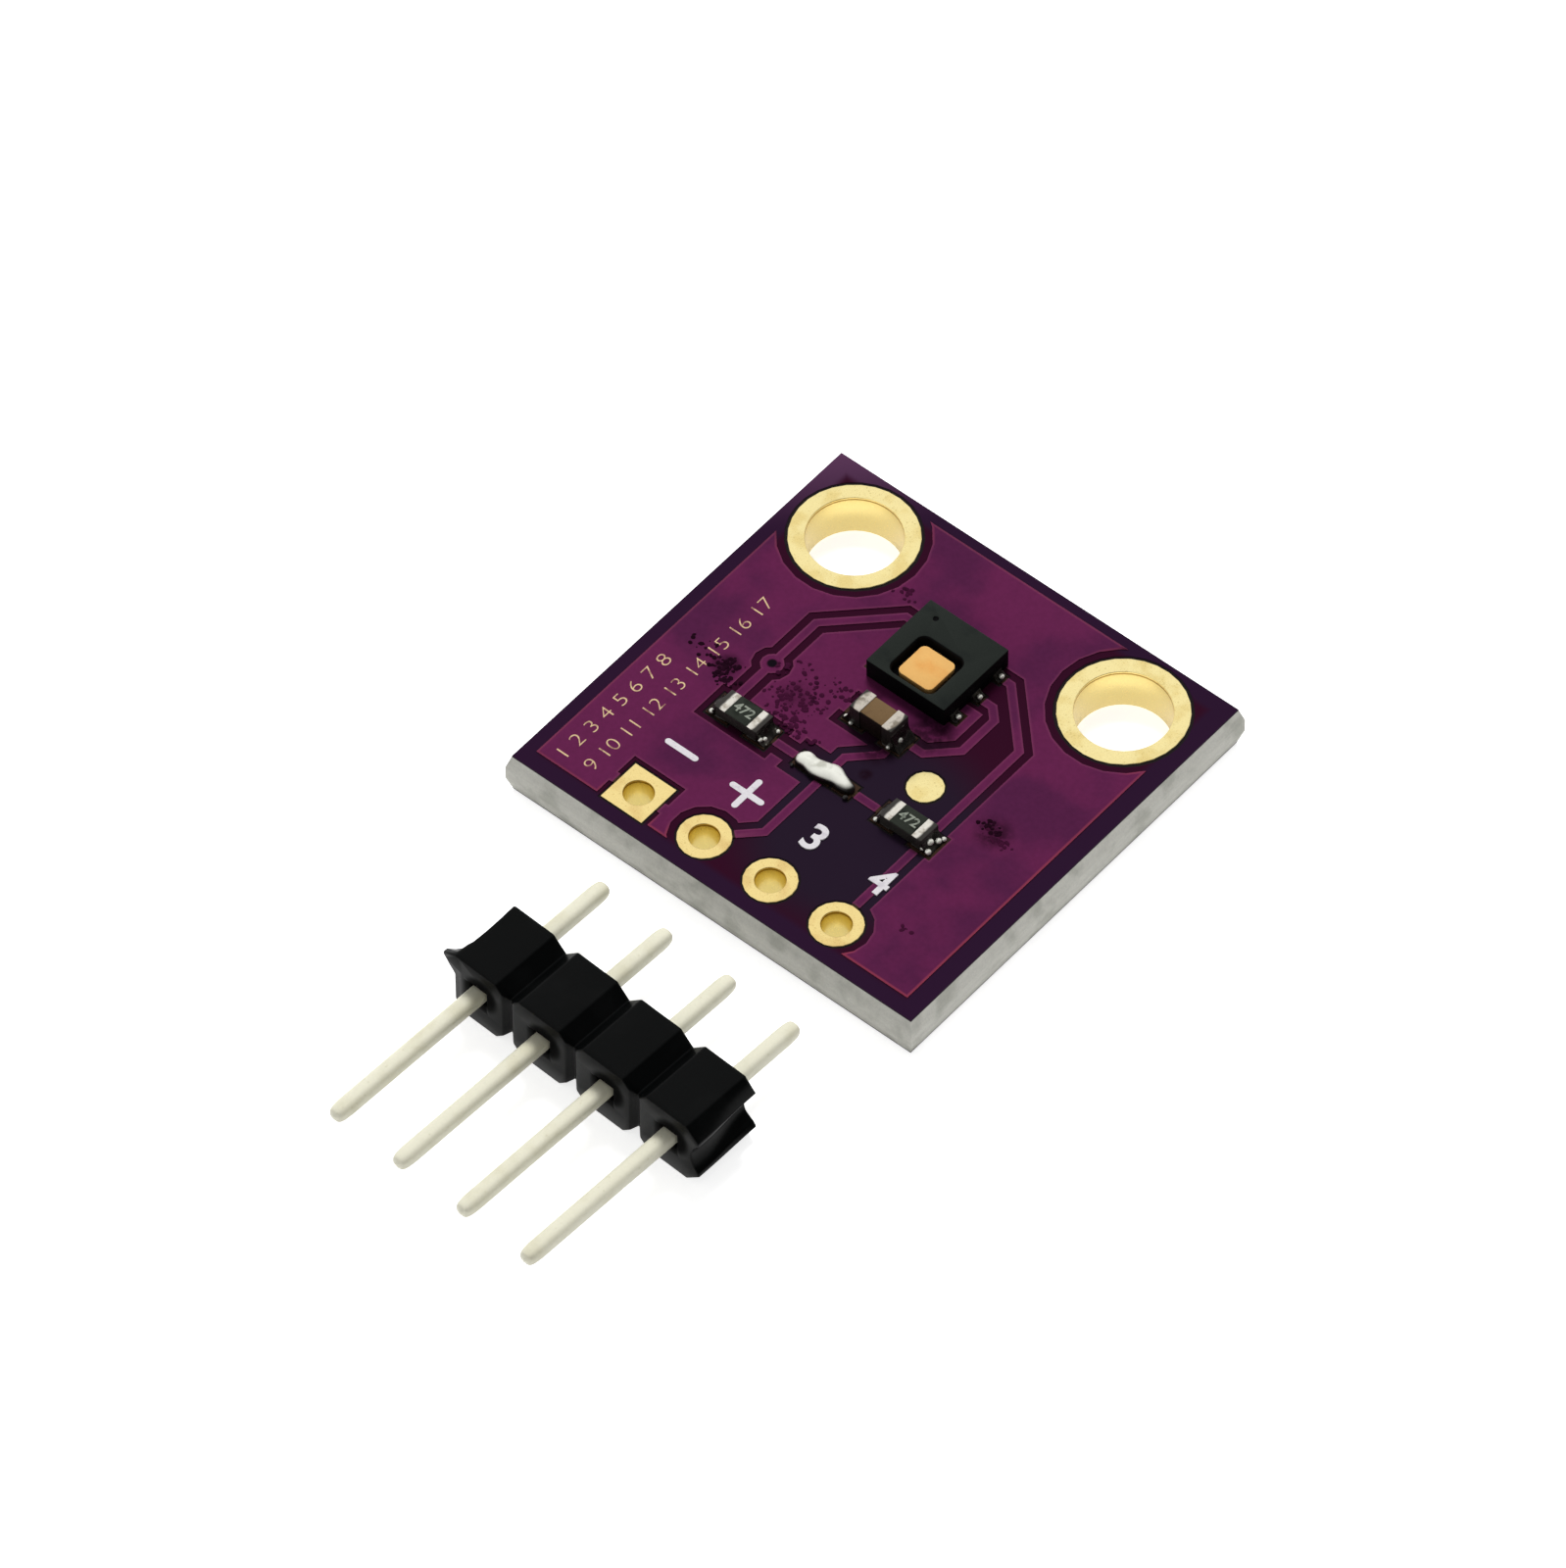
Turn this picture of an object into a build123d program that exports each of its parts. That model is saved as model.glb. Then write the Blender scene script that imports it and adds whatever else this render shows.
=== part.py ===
"""Temperature and humidity sensor module: a two-layer circuit board with its parts, and its pin header.

Millimetres. The origin is the centre of the board's underside, +X runs along the row of header
holes from the square pad, +Y towards the two mounting holes and +Z up. The header is not soldered
in yet: it lies on the same surface, in front of the row of holes that it fits.
"""

import os
from math import acos, ceil, pi, radians, tan
from build123d import *

# Board outline and layers
board_width = 15.35
board_depth = 15.15
laminate_thickness = 1.50
copper_thickness = 0.04
mask_film = 0.02
score_depth = 0.50
score_bulge = 0.15

# Copper layout, drawn about its own centre, which the cutter missed by a little
layout_shift_x = -0.08
layout_shift_y = 0.11
pour_margin_x = 0.555
pour_margin_y = 0.485
track_width = 0.25
copper_gap = 0.30
mask_relief = 0.07
thermal_gap = 0.20
spoke_width = 0.35
part_margin = 0.27
pad_plot_error = 0.012
pour_plot_error = 0.025
fine_plot_error = 0.004

# Lines of the layout: where they run upright, and how far across their slanted stretches go
supply_x = -0.01
loop_x = 2.50
data_bend = 1.90
clock_bend = 1.80
branch_drop = 0.72
loop_rise = 0.09
loop_low_bend = 0.82
loop_high_bend = 0.37

# Mounting holes, set in from the side and back edges
mounting_inset_x = 2.475
mounting_inset_y = 2.355
mounting_hole_radius = 1.50
mounting_pad_radius = 2.00
mounting_pour_radius = 2.35
mounting_mask_radius = 2.10
plating_wall = 0.018

# Header holes, set in from the front edge
header_count = 4
header_pitch = 2.54
header_inset = 1.225
header_hole_radius = 0.475
header_pad_radius = 0.82
square_pad_side = 1.60

# Test pad and via
test_pad_x = 2.53
test_pad_y = -0.75
test_pad_radius = 0.57
via_x = -3.94
via_y = -0.09
via_pad_radius = 0.34
via_hole_radius = 0.13

# Sensor package
package_side = 3.00
package_height = 0.75
package_x = 0.00
package_y = 2.84
lead_count = 3
lead_pitch = 1.00
lead_width = 0.40
lead_length = 0.42
lead_height = 0.20
window_side = 1.66
window_corner = 0.27
window_depth = 0.40
window_offset_y = -0.49
window_lip = 0.06
film_side = 1.30
film_corner = 0.20
film_recess = 0.15
pin_dot_radius = 0.09
pin_dot_depth = 0.04
pin_dot_inset_x = 0.58
pin_dot_inset_y = 0.47

# Chip parts, all of one case size
chip_length = 1.60
chip_width = 0.80
chip_end = 0.38
end_wall = 0.03
capacitor_height = 0.80
resistor_height = 0.45
overcoat_thickness = 0.03
capacitor_x = 0.06
capacitor_y = 0.07
resistor_left_x = -3.17
resistor_right_x = 3.18
resistor_y = -2.29
chip_pad_length = 0.83
chip_pad_width = 0.90

# Solder
solder_film = 0.03
solder_reach = 0.33
solder_climb = 0.75
solder_hollow = 0.25
lead_solder_reach = 0.22
jumper_pad_width = 0.60
jumper_pad_length = 0.66
jumper_pad_pitch = 0.76
jumper_solder_length = 2.10
jumper_solder_radius = 0.33
jumper_shoulder = 0.5
jumper_waist = 0.84

# Loose header: its place in front of the board, and its own sizes
header_x = 1.07
header_gap = 1.925
header_turn = -2.7
pin_width = 0.64
pin_taper_length = 0.45
pin_tip_width = 0.34
pin_long_side = 6.00
pin_short_side = 3.00
insulator_length = 2.54
insulator_height = 2.50
segment_chamfer = 0.48
front_groove_depth = 0.20
front_groove_width = 0.42
end_groove_depth = 0.30
end_groove_height = 1.30
entry_depth = 0.12
entry_width = 0.92

# Heights that follow
bottom_copper_z = mask_film
laminate_z = bottom_copper_z + copper_thickness
top_copper_z = laminate_z + laminate_thickness
pad_z = top_copper_z + copper_thickness
board_thickness = pad_z + mask_film
part_z = pad_z + solder_film

# Places that follow
pour_width = board_width - 2 * pour_margin_x
pour_depth = board_depth - 2 * pour_margin_y
mounting_hole_y = board_depth / 2 - mounting_inset_y
header_row_y = -board_depth / 2 + header_inset
header_y = -board_depth / 2 - header_gap - pin_short_side - insulator_length / 2
chip_pad_x = chip_length / 2 + solder_reach - chip_pad_length / 2
lead_x = package_side / 2 - lead_length / 2
top_lead_y = package_y + (lead_count - 1) / 2 * lead_pitch
pour_bottom = -pour_depth / 2
clear = track_width / 2 + copper_gap
miter = tan(radians(45) / 2)
overcut = 1.0


def layout(shape):
    """Shift a shape from the copper layout's own centre to the board's."""
    return Pos(layout_shift_x, layout_shift_y, 0) * shape


def header_hole_x(index):
    """X of one header hole, counted from the square pad."""
    return (index - (header_count - 1) / 2) * header_pitch


def mounting_hole_x(side):
    """X of one mounting hole: side is -1 for the left one and 1 for the right one."""
    return side * (board_width / 2 - mounting_inset_x)


def disc(x, y, radius):
    """Flat round patch."""
    return Pos(x, y) * Circle(radius)


def patch(x, y, width, depth):
    """Flat rectangular patch about its centre."""
    return Pos(x, y) * Rectangle(width, depth)


def plotted_disc(x, y, radius, grow=0.0, error=pad_plot_error):
    """Round patch of the artwork, plotted in straight strokes that stay within an error of the circle."""
    sides = ceil(pi / acos(1 - error / radius))
    return Pos(x, y) * RegularPolygon(radius + grow, sides, major_radius=False)


def route(points, width, overrun=0.0):
    """Flat track of one width along straight runs, with mitred corners and square ends."""
    path = [Vector(*point) for point in points]
    runs = [(end - start).normalized() for start, end in zip(path, path[1:])]
    path[0] -= runs[0] * overrun
    path[-1] += runs[-1] * overrun
    left = []
    right = []
    for point, before, after in zip(path, runs[:1] + runs, runs + runs[-1:]):
        across = Vector(-before.Y - after.Y, before.X + after.X) / (1 + before.dot(after))
        left.append(point + across * width / 2)
        right.append(point - across * width / 2)
    return make_face(Polyline(*left, *reversed(right), close=True))


def slab(flat, low, high):
    """Plate of a flat shape between two heights."""
    return Pos(0, 0, low) * extrude(flat, high - low)


# Copper layout

def data_track():
    """Left bus line: from the left resistor past the via to the sensor's top lead."""
    return [
        (via_x, resistor_y),
        (via_x, top_lead_y - data_bend),
        (via_x + data_bend, top_lead_y),
        (package_x - lead_x, top_lead_y),
    ]


def clock_track():
    """Right bus line: from the last header pad past the right resistor to the sensor's top lead."""
    x = header_hole_x(header_count - 1)
    return [
        (x, header_row_y),
        (x, top_lead_y - clock_bend),
        (x - clock_bend, top_lead_y),
        (package_x + lead_x, top_lead_y),
    ]


def supply_track():
    """Supply line from the second header pad up to the jumper's middle pad and the capacitor."""
    pad_x = capacitor_x + chip_pad_x
    return [
        (header_hole_x(1), header_row_y),
        (supply_x, header_row_y + supply_x - header_hole_x(1)),
        (supply_x, capacitor_y - branch_drop - pad_x + supply_x),
        (pad_x, capacitor_y - branch_drop),
        (pad_x, capacitor_y),
    ]


def sensor_supply_track():
    """Supply line from the capacitor round to the sensor's middle lead on the right."""
    low = capacitor_y + loop_rise
    return [
        (capacitor_x + chip_pad_x, low),
        (loop_x - loop_low_bend, low),
        (loop_x, low + loop_low_bend),
        (loop_x, package_y - loop_high_bend),
        (loop_x - loop_high_bend, package_y),
        (package_x + lead_x, package_y),
    ]


def jumper_tracks():
    """Short lines from the jumper's outer pads to the two resistors."""
    left = [(resistor_left_x + chip_pad_x, resistor_y), (-jumper_pad_pitch, resistor_y)]
    right = [(jumper_pad_pitch, resistor_y), (resistor_right_x - chip_pad_x, resistor_y)]
    return [left, right]


def all_tracks():
    """Every line on the top side."""
    return [data_track(), clock_track(), supply_track(), sensor_supply_track()] + jumper_tracks()


def chip_pads(x, y):
    """The two pads under a chip part."""
    return [(x + side * chip_pad_x, y, chip_pad_length, chip_pad_width) for side in (-1, 1)]


def lead_y(row):
    """Y of one row of sensor leads, counted from the lowest."""
    return top_lead_y - (lead_count - 1 - row) * lead_pitch


def lead_pads():
    """The six pads under the sensor's leads."""
    length = lead_length + lead_solder_reach
    x = lead_x + lead_solder_reach / 2
    rows = range(lead_count)
    return [(package_x + side * x, lead_y(row), length, lead_width) for side in (-1, 1) for row in rows]


def jumper_pads():
    """The three pads of the solder jumper."""
    steps = (-1, 0, 1)
    return [(step * jumper_pad_pitch, resistor_y, jumper_pad_length, jumper_pad_width) for step in steps]


def part_pads():
    """Every rectangular pad on the top side, as centre and size."""
    pads = chip_pads(capacitor_x, capacitor_y)
    pads += chip_pads(resistor_left_x, resistor_y)
    pads += chip_pads(resistor_right_x, resistor_y)
    return pads + lead_pads() + jumper_pads()


def signal_field(shrink):
    """The bare part of the top side, between the supply line, the clock line and the sensor."""
    gap = clear - shrink
    margin = part_margin - shrink
    right = header_hole_x(header_count - 1)
    left = supply_x - gap
    bay = chip_pad_width / 2 + margin
    bay_left = -jumper_pad_pitch - jumper_pad_length / 2 - margin
    pocket = package_x + lead_x - lead_length / 2 - margin
    inner_loop = loop_x - gap
    low = capacitor_y + loop_rise + gap
    diagonal = gap / 2 ** 0.5
    branch_x = capacitor_x + chip_pad_x
    points = [
        (right + gap, pour_bottom - overcut),
        (right + gap, top_lead_y - clock_bend + miter * gap),
        (right - clock_bend + miter * gap, top_lead_y + gap),
        (pocket, top_lead_y + gap),
        (pocket, package_y - gap),
        (inner_loop, package_y - gap),
        (inner_loop, low + loop_low_bend - (1 - miter) * gap),
        (inner_loop - loop_low_bend + (1 - miter) * gap, low),
        (capacitor_x - chip_pad_x, low),
        (capacitor_x - chip_pad_x, capacitor_y - bay),
        (branch_x + branch_drop - bay - 2 * diagonal, capacitor_y - bay),
        (left, capacitor_y - branch_drop - branch_x + supply_x + miter * gap),
        (left, resistor_y + bay),
        (bay_left, resistor_y + bay),
        (bay_left, resistor_y - bay),
        (left, resistor_y - bay),
        (left, header_row_y + supply_x - header_hole_x(1) + miter * gap),
        (header_hole_x(1) - diagonal, header_row_y + diagonal),
        (header_hole_x(1), header_row_y),
        (header_hole_x(1), pour_bottom - overcut),
    ]
    return make_face(Polyline(*points, close=True))


def corner_cutouts(shrink):
    """Room round the mounting holes, out to the corners of the ground copper."""
    cuts = []
    for side in (-1, 1):
        x = mounting_hole_x(side)
        cuts.append(plotted_disc(x, mounting_hole_y, mounting_pour_radius, -shrink, pour_plot_error))
        reach_x = pour_width / 2 + overcut - abs(x)
        reach_y = pour_depth / 2 + overcut - mounting_hole_y
        cuts.append(patch(x + side * reach_x / 2, mounting_hole_y + reach_y / 2, reach_x, reach_y))
    return cuts


def hole_gaps(shrink):
    """Gaps round the header's pads and the via."""
    ring_side = square_pad_side + 2 * thermal_gap - 2 * shrink
    gaps = [patch(header_hole_x(0), header_row_y, ring_side, ring_side)]
    radius = header_pad_radius + copper_gap
    for index in range(1, header_count):
        gaps.append(plotted_disc(header_hole_x(index), header_row_y, radius, -shrink, pour_plot_error))
    gaps.append(plotted_disc(via_x, via_y, via_pad_radius + copper_gap, -shrink, pour_plot_error))
    return gaps


def ground_cutouts(shrink):
    """Where the ground copper stays clear of other copper, shrunk for the mask over its edges."""
    cuts = corner_cutouts(shrink) + hole_gaps(shrink)
    gap = clear - shrink
    cuts.append(route(data_track(), 2 * gap, gap))
    cuts.append(route(jumper_tracks()[0], 2 * gap, gap))
    cuts.append(signal_field(shrink))
    margin = part_margin - shrink
    bay = chip_pad_width + 2 * margin
    cuts.append(patch(resistor_left_x, resistor_y, 2 * chip_pad_x + chip_pad_length + 2 * margin, bay))
    cuts.append(patch(capacitor_x - chip_pad_x, capacitor_y, chip_pad_length + 2 * margin, bay))
    return cuts


def ground_spokes(grow):
    """Copper that ties the square pad and the capacitor's left pad to the ground copper."""
    width = spoke_width + 2 * grow
    reach = square_pad_side / 2 + thermal_gap + spoke_width
    chip_reach = chip_pad_length / 2 + part_margin + spoke_width
    pad = patch(header_hole_x(0), header_row_y, 2 * reach, width)
    chip = patch(capacitor_x - chip_pad_x - chip_reach / 2, capacitor_y, chip_reach, width)
    return [pad, chip]


def top_layout(grow):
    """All copper on the top side as one flat shape, grown by a mask film's thickness or by nothing."""
    shape = Rectangle(pour_width + 2 * grow, pour_depth + 2 * grow)
    for cut in ground_cutouts(grow):
        shape -= cut
    for spoke in ground_spokes(grow):
        shape += spoke
    for track in all_tracks():
        shape += route(track, track_width + 2 * grow)
    for x, y, width, depth in part_pads():
        shape += patch(x, y, width + 2 * grow, depth + 2 * grow)
    return shape


def bottom_data_track():
    """Left bus line on the underside, from the via to the third header pad."""
    third = header_hole_x(2)
    turn_y = via_y + via_x - supply_x
    return [(via_x, via_y), (supply_x, turn_y), (third, turn_y - third + supply_x), (third, header_row_y)]


def bottom_layout(grow):
    """All copper on the underside as one flat shape."""
    shape = Rectangle(pour_width + 2 * grow, pour_depth + 2 * grow)
    for cut in corner_cutouts(grow) + hole_gaps(grow):
        shape -= cut
    shape -= route(bottom_data_track(), 2 * (clear - grow))
    shape += ground_spokes(grow)[0]
    shape += route(bottom_data_track(), track_width + 2 * grow)
    return shape


def header_pad_outline(index, grow):
    """Outline of one header pad: the first is square and the rest are round."""
    x = header_hole_x(index)
    if index == 0:
        side = square_pad_side + 2 * grow
        return patch(x, header_row_y, side, side)
    return plotted_disc(x, header_row_y, header_pad_radius, grow)


def mounting_hole(side, grow):
    """Section of one mounting hole."""
    return disc(mounting_hole_x(side), mounting_hole_y, mounting_hole_radius + grow)


def header_hole(index, grow):
    """Section of one header hole."""
    return disc(header_hole_x(index), header_row_y, header_hole_radius + grow)


def via_hole(grow):
    """Section of the via's hole."""
    return plotted_disc(via_x, via_y, via_hole_radius, grow, fine_plot_error)


def mounting_pad_outline(side, grow):
    """Outline of one mounting ring."""
    return plotted_disc(mounting_hole_x(side), mounting_hole_y, mounting_pad_radius, grow)


def via_outline(grow):
    """Outline of the via's pad."""
    return plotted_disc(via_x, via_y, via_pad_radius, grow)


def plated_outlines():
    """Outlines of everything that goes through the board."""
    shapes = [mounting_pad_outline(side, 0) for side in (-1, 1)]
    shapes += [header_pad_outline(index, 0) for index in range(header_count)]
    return shapes + [via_outline(0)]


def mask_openings():
    """Windows in the mask over the holes' pads."""
    rim = mounting_mask_radius - mounting_pad_radius
    shapes = [mounting_pad_outline(side, rim) for side in (-1, 1)]
    return shapes + [header_pad_outline(index, mask_relief) for index in range(header_count)]


# Board

def scored_profile(width):
    """Section of the laminate: edges snapped along score lines, with a rough web that stands out."""
    half = width / 2
    points = [
        (-half, 0),
        (-half - score_bulge, score_depth),
        (-half - score_bulge, laminate_thickness - score_depth),
        (-half, laminate_thickness),
        (half, laminate_thickness),
        (half + score_bulge, laminate_thickness - score_depth),
        (half + score_bulge, score_depth),
        (half, 0),
    ]
    return make_face(Polyline(*points, close=True))


def board_core():
    """Glass laminate with its scored edges and drilled holes."""
    reach = max(board_width, board_depth)
    across = extrude(Plane.XZ * scored_profile(board_width), reach, both=True)
    along = extrude(Plane.YZ * scored_profile(board_depth), reach, both=True)
    core = Pos(0, 0, laminate_z) * (across & along)
    drills = [mounting_hole(side, plating_wall) for side in (-1, 1)]
    drills += [header_hole(index, plating_wall) for index in range(header_count)]
    drills.append(via_hole(plating_wall))
    for drill in drills:
        core -= layout(slab(drill, 0, board_thickness))
    return core


def top_copper():
    """Copper on the top side: ground area, lines and the pads under the parts."""
    shape = top_layout(0)
    for outline in plated_outlines():
        shape -= outline
    return layout(slab(shape, top_copper_z, pad_z))


def bottom_copper():
    """Copper on the underside: ground area and one line."""
    shape = bottom_layout(0)
    for outline in plated_outlines():
        shape -= outline
    return layout(slab(shape, bottom_copper_z, laminate_z))


def plated_hole(hole, drill, outline):
    """Tube of copper in a drilled hole, with a pad on each face."""
    tube = slab(drill - hole, laminate_z, top_copper_z)
    under = slab(outline - hole, bottom_copper_z, laminate_z)
    over = slab(outline - hole, top_copper_z, pad_z)
    return layout(tube + under + over)


def mounting_hole_plating(side):
    """Gold-faced ring and wall of one mounting hole."""
    drill = mounting_hole(side, plating_wall)
    return plated_hole(mounting_hole(side, 0), drill, mounting_pad_outline(side, 0))


def header_hole_plating(index):
    """Gold-faced pad and wall of one header hole."""
    drill = header_hole(index, plating_wall)
    return plated_hole(header_hole(index, 0), drill, header_pad_outline(index, 0))


def via_plating():
    """Small plated hole that takes the left bus line to the underside."""
    return plated_hole(via_hole(0), via_hole(plating_wall), via_outline(0))


def test_pad_outline(grow):
    """Outline of the round pad for a probe."""
    return plotted_disc(test_pad_x, test_pad_y, test_pad_radius, grow)


def test_pad():
    """Flat round pad for a probe."""
    return layout(slab(test_pad_outline(0), top_copper_z, pad_z))


def top_solder_mask():
    """Lacquer over the top side: it steps up over the copper, closes the via and is open at every pad."""
    outline = Rectangle(board_width, board_depth)
    film = slab(outline, top_copper_z, top_copper_z + mask_film)
    raised = top_layout(mask_film) + via_outline(mask_film)
    film += layout(slab(raised, top_copper_z, board_thickness))
    copper = top_layout(0) + via_outline(0)
    film -= layout(slab(copper, top_copper_z, pad_z))
    windows = mask_openings() + [test_pad_outline(mask_relief)]
    for x, y, width, depth in part_pads():
        windows.append(patch(x, y, width + 2 * mask_relief, depth + 2 * mask_relief))
    for window in windows:
        film -= layout(slab(window, top_copper_z, board_thickness))
    return film


def bottom_solder_mask():
    """Lacquer over the underside, level with the rest plane where it crosses the copper."""
    outline = Rectangle(board_width, board_depth)
    film = slab(outline, laminate_z - mask_film, laminate_z)
    lowered = bottom_layout(mask_film) + via_outline(mask_film)
    film += layout(slab(lowered, 0, laminate_z))
    copper = bottom_layout(0) + via_outline(0)
    film -= layout(slab(copper, bottom_copper_z, laminate_z))
    for window in mask_openings():
        film -= layout(slab(window, 0, laminate_z))
    return film


# Sensor

def sensor_lead_boxes():
    """The six leads, flush with the package's sides and underside."""
    boxes = []
    for side in (-1, 1):
        for row in range(lead_count):
            flat = patch(package_x + side * lead_x, lead_y(row), lead_length, lead_width)
            boxes.append(slab(flat, part_z, part_z + lead_height))
    return boxes


def sensor_package():
    """Moulded package with the recessed window, the first-lead dot and pockets for the leads."""
    top = part_z + package_height
    body = slab(patch(package_x, package_y, package_side, package_side), part_z, top)
    centre = Pos(package_x, package_y + window_offset_y)
    mouth = centre * RectangleRounded(window_side, window_side, window_corner)
    body -= slab(mouth, top - window_depth, top)
    lip_side = window_side + 2 * window_lip
    lip = Pos(0, 0, top) * centre * RectangleRounded(lip_side, lip_side, window_corner + window_lip)
    body -= extrude(lip, -window_lip, taper=45)
    dot_x = package_x - package_side / 2 + pin_dot_inset_x
    dot_y = package_y + package_side / 2 - pin_dot_inset_y
    dot = plotted_disc(dot_x, dot_y, pin_dot_radius, 0, fine_plot_error)
    body -= slab(dot, top - pin_dot_depth, top)
    for lead in sensor_lead_boxes():
        body -= lead
    return layout(body)


def sensing_film():
    """Sensing element on the window's floor, with its polymer film on top."""
    top = part_z + package_height
    flat = RectangleRounded(film_side, film_side, film_corner)
    centre = Pos(package_x, package_y + window_offset_y)
    return layout(slab(centre * flat, top - window_depth, top - film_recess))


def sensor_leads():
    """Six flat leads."""
    return layout(Compound(sensor_lead_boxes()))


# Solder

def solder_foot(x, y, side, inside, reach, width, climb):
    """Solder at one end: a thin bed under the metal and a hollow slope up its end face."""
    toe_z = pad_z + solder_film / 2
    crest_z = part_z + climb
    inner = -side * inside
    outer = side * reach
    back = [(0, crest_z), (0, part_z), (inner, part_z), (inner, pad_z)]
    bed = Polyline(*back, (outer, pad_z), (outer, toe_z))
    sag = (outer * solder_hollow, toe_z + (crest_z - toe_z) * solder_hollow)
    slope = Bezier((outer, toe_z), sag, (0, crest_z))
    return Pos(x, y, 0) * extrude(Plane.XZ * make_face(bed + slope), width / 2, both=True)


def chip_solder(x, y, height):
    """Both solder joints of a chip part."""
    joints = []
    for side in (-1, 1):
        face = x + side * chip_length / 2
        joints.append(solder_foot(face, y, side, chip_end, solder_reach, chip_width, height * solder_climb))
    return layout(Compound(joints))


def sensor_solder():
    """Solder at the sensor's six leads."""
    joints = []
    for side in (-1, 1):
        face = package_x + side * package_side / 2
        for y in map(lead_y, range(lead_count)):
            foot = solder_foot(face, y, side, lead_length, lead_solder_reach, lead_width, lead_height)
            joints.append(foot)
    return layout(Compound(joints))


def jumper_solder():
    """Blob of solder that bridges the jumper's three pads."""
    half = jumper_solder_length / 2
    radius = jumper_solder_radius
    shoulder = half - radius * jumper_shoulder
    side = [(half, radius * jumper_shoulder), (shoulder, radius), (0, radius * jumper_waist)]
    side += [(-shoulder, radius), (-half, radius * jumper_shoulder)]
    outline = side + [(x, -y) for x, y in reversed(side)]
    plan = extrude(make_face(Polyline(*outline, close=True)), radius, both=True)
    bar = extrude(Plane.YZ * plotted_disc(0, 0, radius), half, both=True)
    upper = slab(patch(0, 0, 2 * half, 2 * overcut), 0, overcut)
    blob = bar & plan & Rotation(90, 0, 0) * plan & upper
    return layout(Pos(0, resistor_y, pad_z) * blob)


# Chip parts

def chip_terminals(x, y, height, wall_sides):
    """The two metal end caps of a chip part."""
    caps = []
    for side in (-1, 1):
        centre = x + side * (chip_length - chip_end) / 2
        cap = slab(patch(centre, y, chip_end, chip_width), part_z, part_z + height)
        inner_width = chip_width - 2 * end_wall if wall_sides else chip_width
        inside = patch(centre - side * end_wall, y, chip_end, inner_width)
        caps.append(cap - slab(inside, part_z + end_wall, part_z + height - end_wall))
    return layout(Compound(caps))


def capacitor_body():
    """Ceramic block of the capacitor, inside its end caps."""
    width = chip_width - 2 * end_wall
    flat = patch(capacitor_x, capacitor_y, chip_length - 2 * end_wall, width)
    return layout(slab(flat, part_z + end_wall, part_z + capacitor_height - end_wall))


def capacitor_terminals():
    """End caps of the capacitor, closed on five sides."""
    return chip_terminals(capacitor_x, capacitor_y, capacitor_height, True)


def resistor_substrate(x):
    """White ceramic plate of one resistor."""
    flat = patch(x, resistor_y, chip_length - 2 * end_wall, chip_width)
    return layout(slab(flat, part_z + end_wall, part_z + resistor_height - end_wall))


def resistor_overcoat(x):
    """Dark glaze over the resistor's film, between its end caps."""
    flat = patch(x, resistor_y, chip_length - 2 * chip_end, chip_width)
    base = part_z + resistor_height - end_wall
    return layout(slab(flat, base, base + overcoat_thickness))


def resistor_terminals(x):
    """End caps of one resistor, wrapped over the top, end and bottom."""
    return chip_terminals(x, resistor_y, resistor_height, False)


# Header

def header_frame(shape):
    """Lay a header piece, drawn with its pins along Y, in its place in front of the board."""
    return Pos(header_x, header_y, insulator_height / 2) * Rotation(0, 0, header_turn) * shape


def square_bar(stations):
    """Square bar along Y, through stations that each give a place on it and half its width there."""
    outline = [(half, y) for y, half in stations] + [(-half, y) for y, half in reversed(stations)]
    widest = max(half for y, half in stations)
    plate = extrude(make_face(Polyline(*outline, close=True)), widest, both=True)
    return plate & Rotation(0, 90, 0) * plate


def segment_profile():
    """Eight-sided section of one segment, seen along its pin."""
    blank = Rectangle(header_pitch, insulator_height)
    return chamfer(blank.vertices(), segment_chamfer)


def snap_groove(x):
    """Hollow that the snapped end of the strip has along its middle."""
    sagitta = end_groove_depth
    half = end_groove_height / 2
    side = 1 if x > 0 else -1
    outer = x + side * overcut
    arc = ThreePointArc((x, -half), (x - side * sagitta, 0), (x, half))
    outline = arc + Polyline((x, half), (outer, half), (outer, -half), (x, -half))
    return extrude(Plane.XZ * make_face(outline), insulator_length, both=True)


def front_groove(x):
    """Upright notch between two segments on the long-pin face."""
    half = front_groove_width / 2
    front = -insulator_length / 2
    points = [(x - half, front), (x, front + front_groove_depth), (x + half, front)]
    return extrude(make_face(Polyline(*points, close=True)), insulator_height, both=True)


def pin_opening(index):
    """Square hole for one pin, with a shallow funnel in the long-pin face."""
    face = -insulator_length / 2
    narrow = pin_width / 2
    stations = [(face, entry_width / 2), (face + entry_depth, narrow), (-face, narrow)]
    return Pos(header_hole_x(index), 0, 0) * square_bar(stations)


def header_insulator():
    """Moulded strip of four segments with its notches and square pin holes."""
    body = Part()
    for index in range(header_count):
        profile = Plane.XZ * Pos(header_hole_x(index), 0) * segment_profile()
        body += extrude(profile, insulator_length / 2, both=True)
    end = header_count * header_pitch / 2
    for x in (-end, end):
        body -= snap_groove(x)
    for index in range(header_count - 1):
        body -= front_groove(header_hole_x(index) + header_pitch / 2)
    for index in range(header_count):
        body -= pin_opening(index)
    return header_frame(body)


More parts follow.
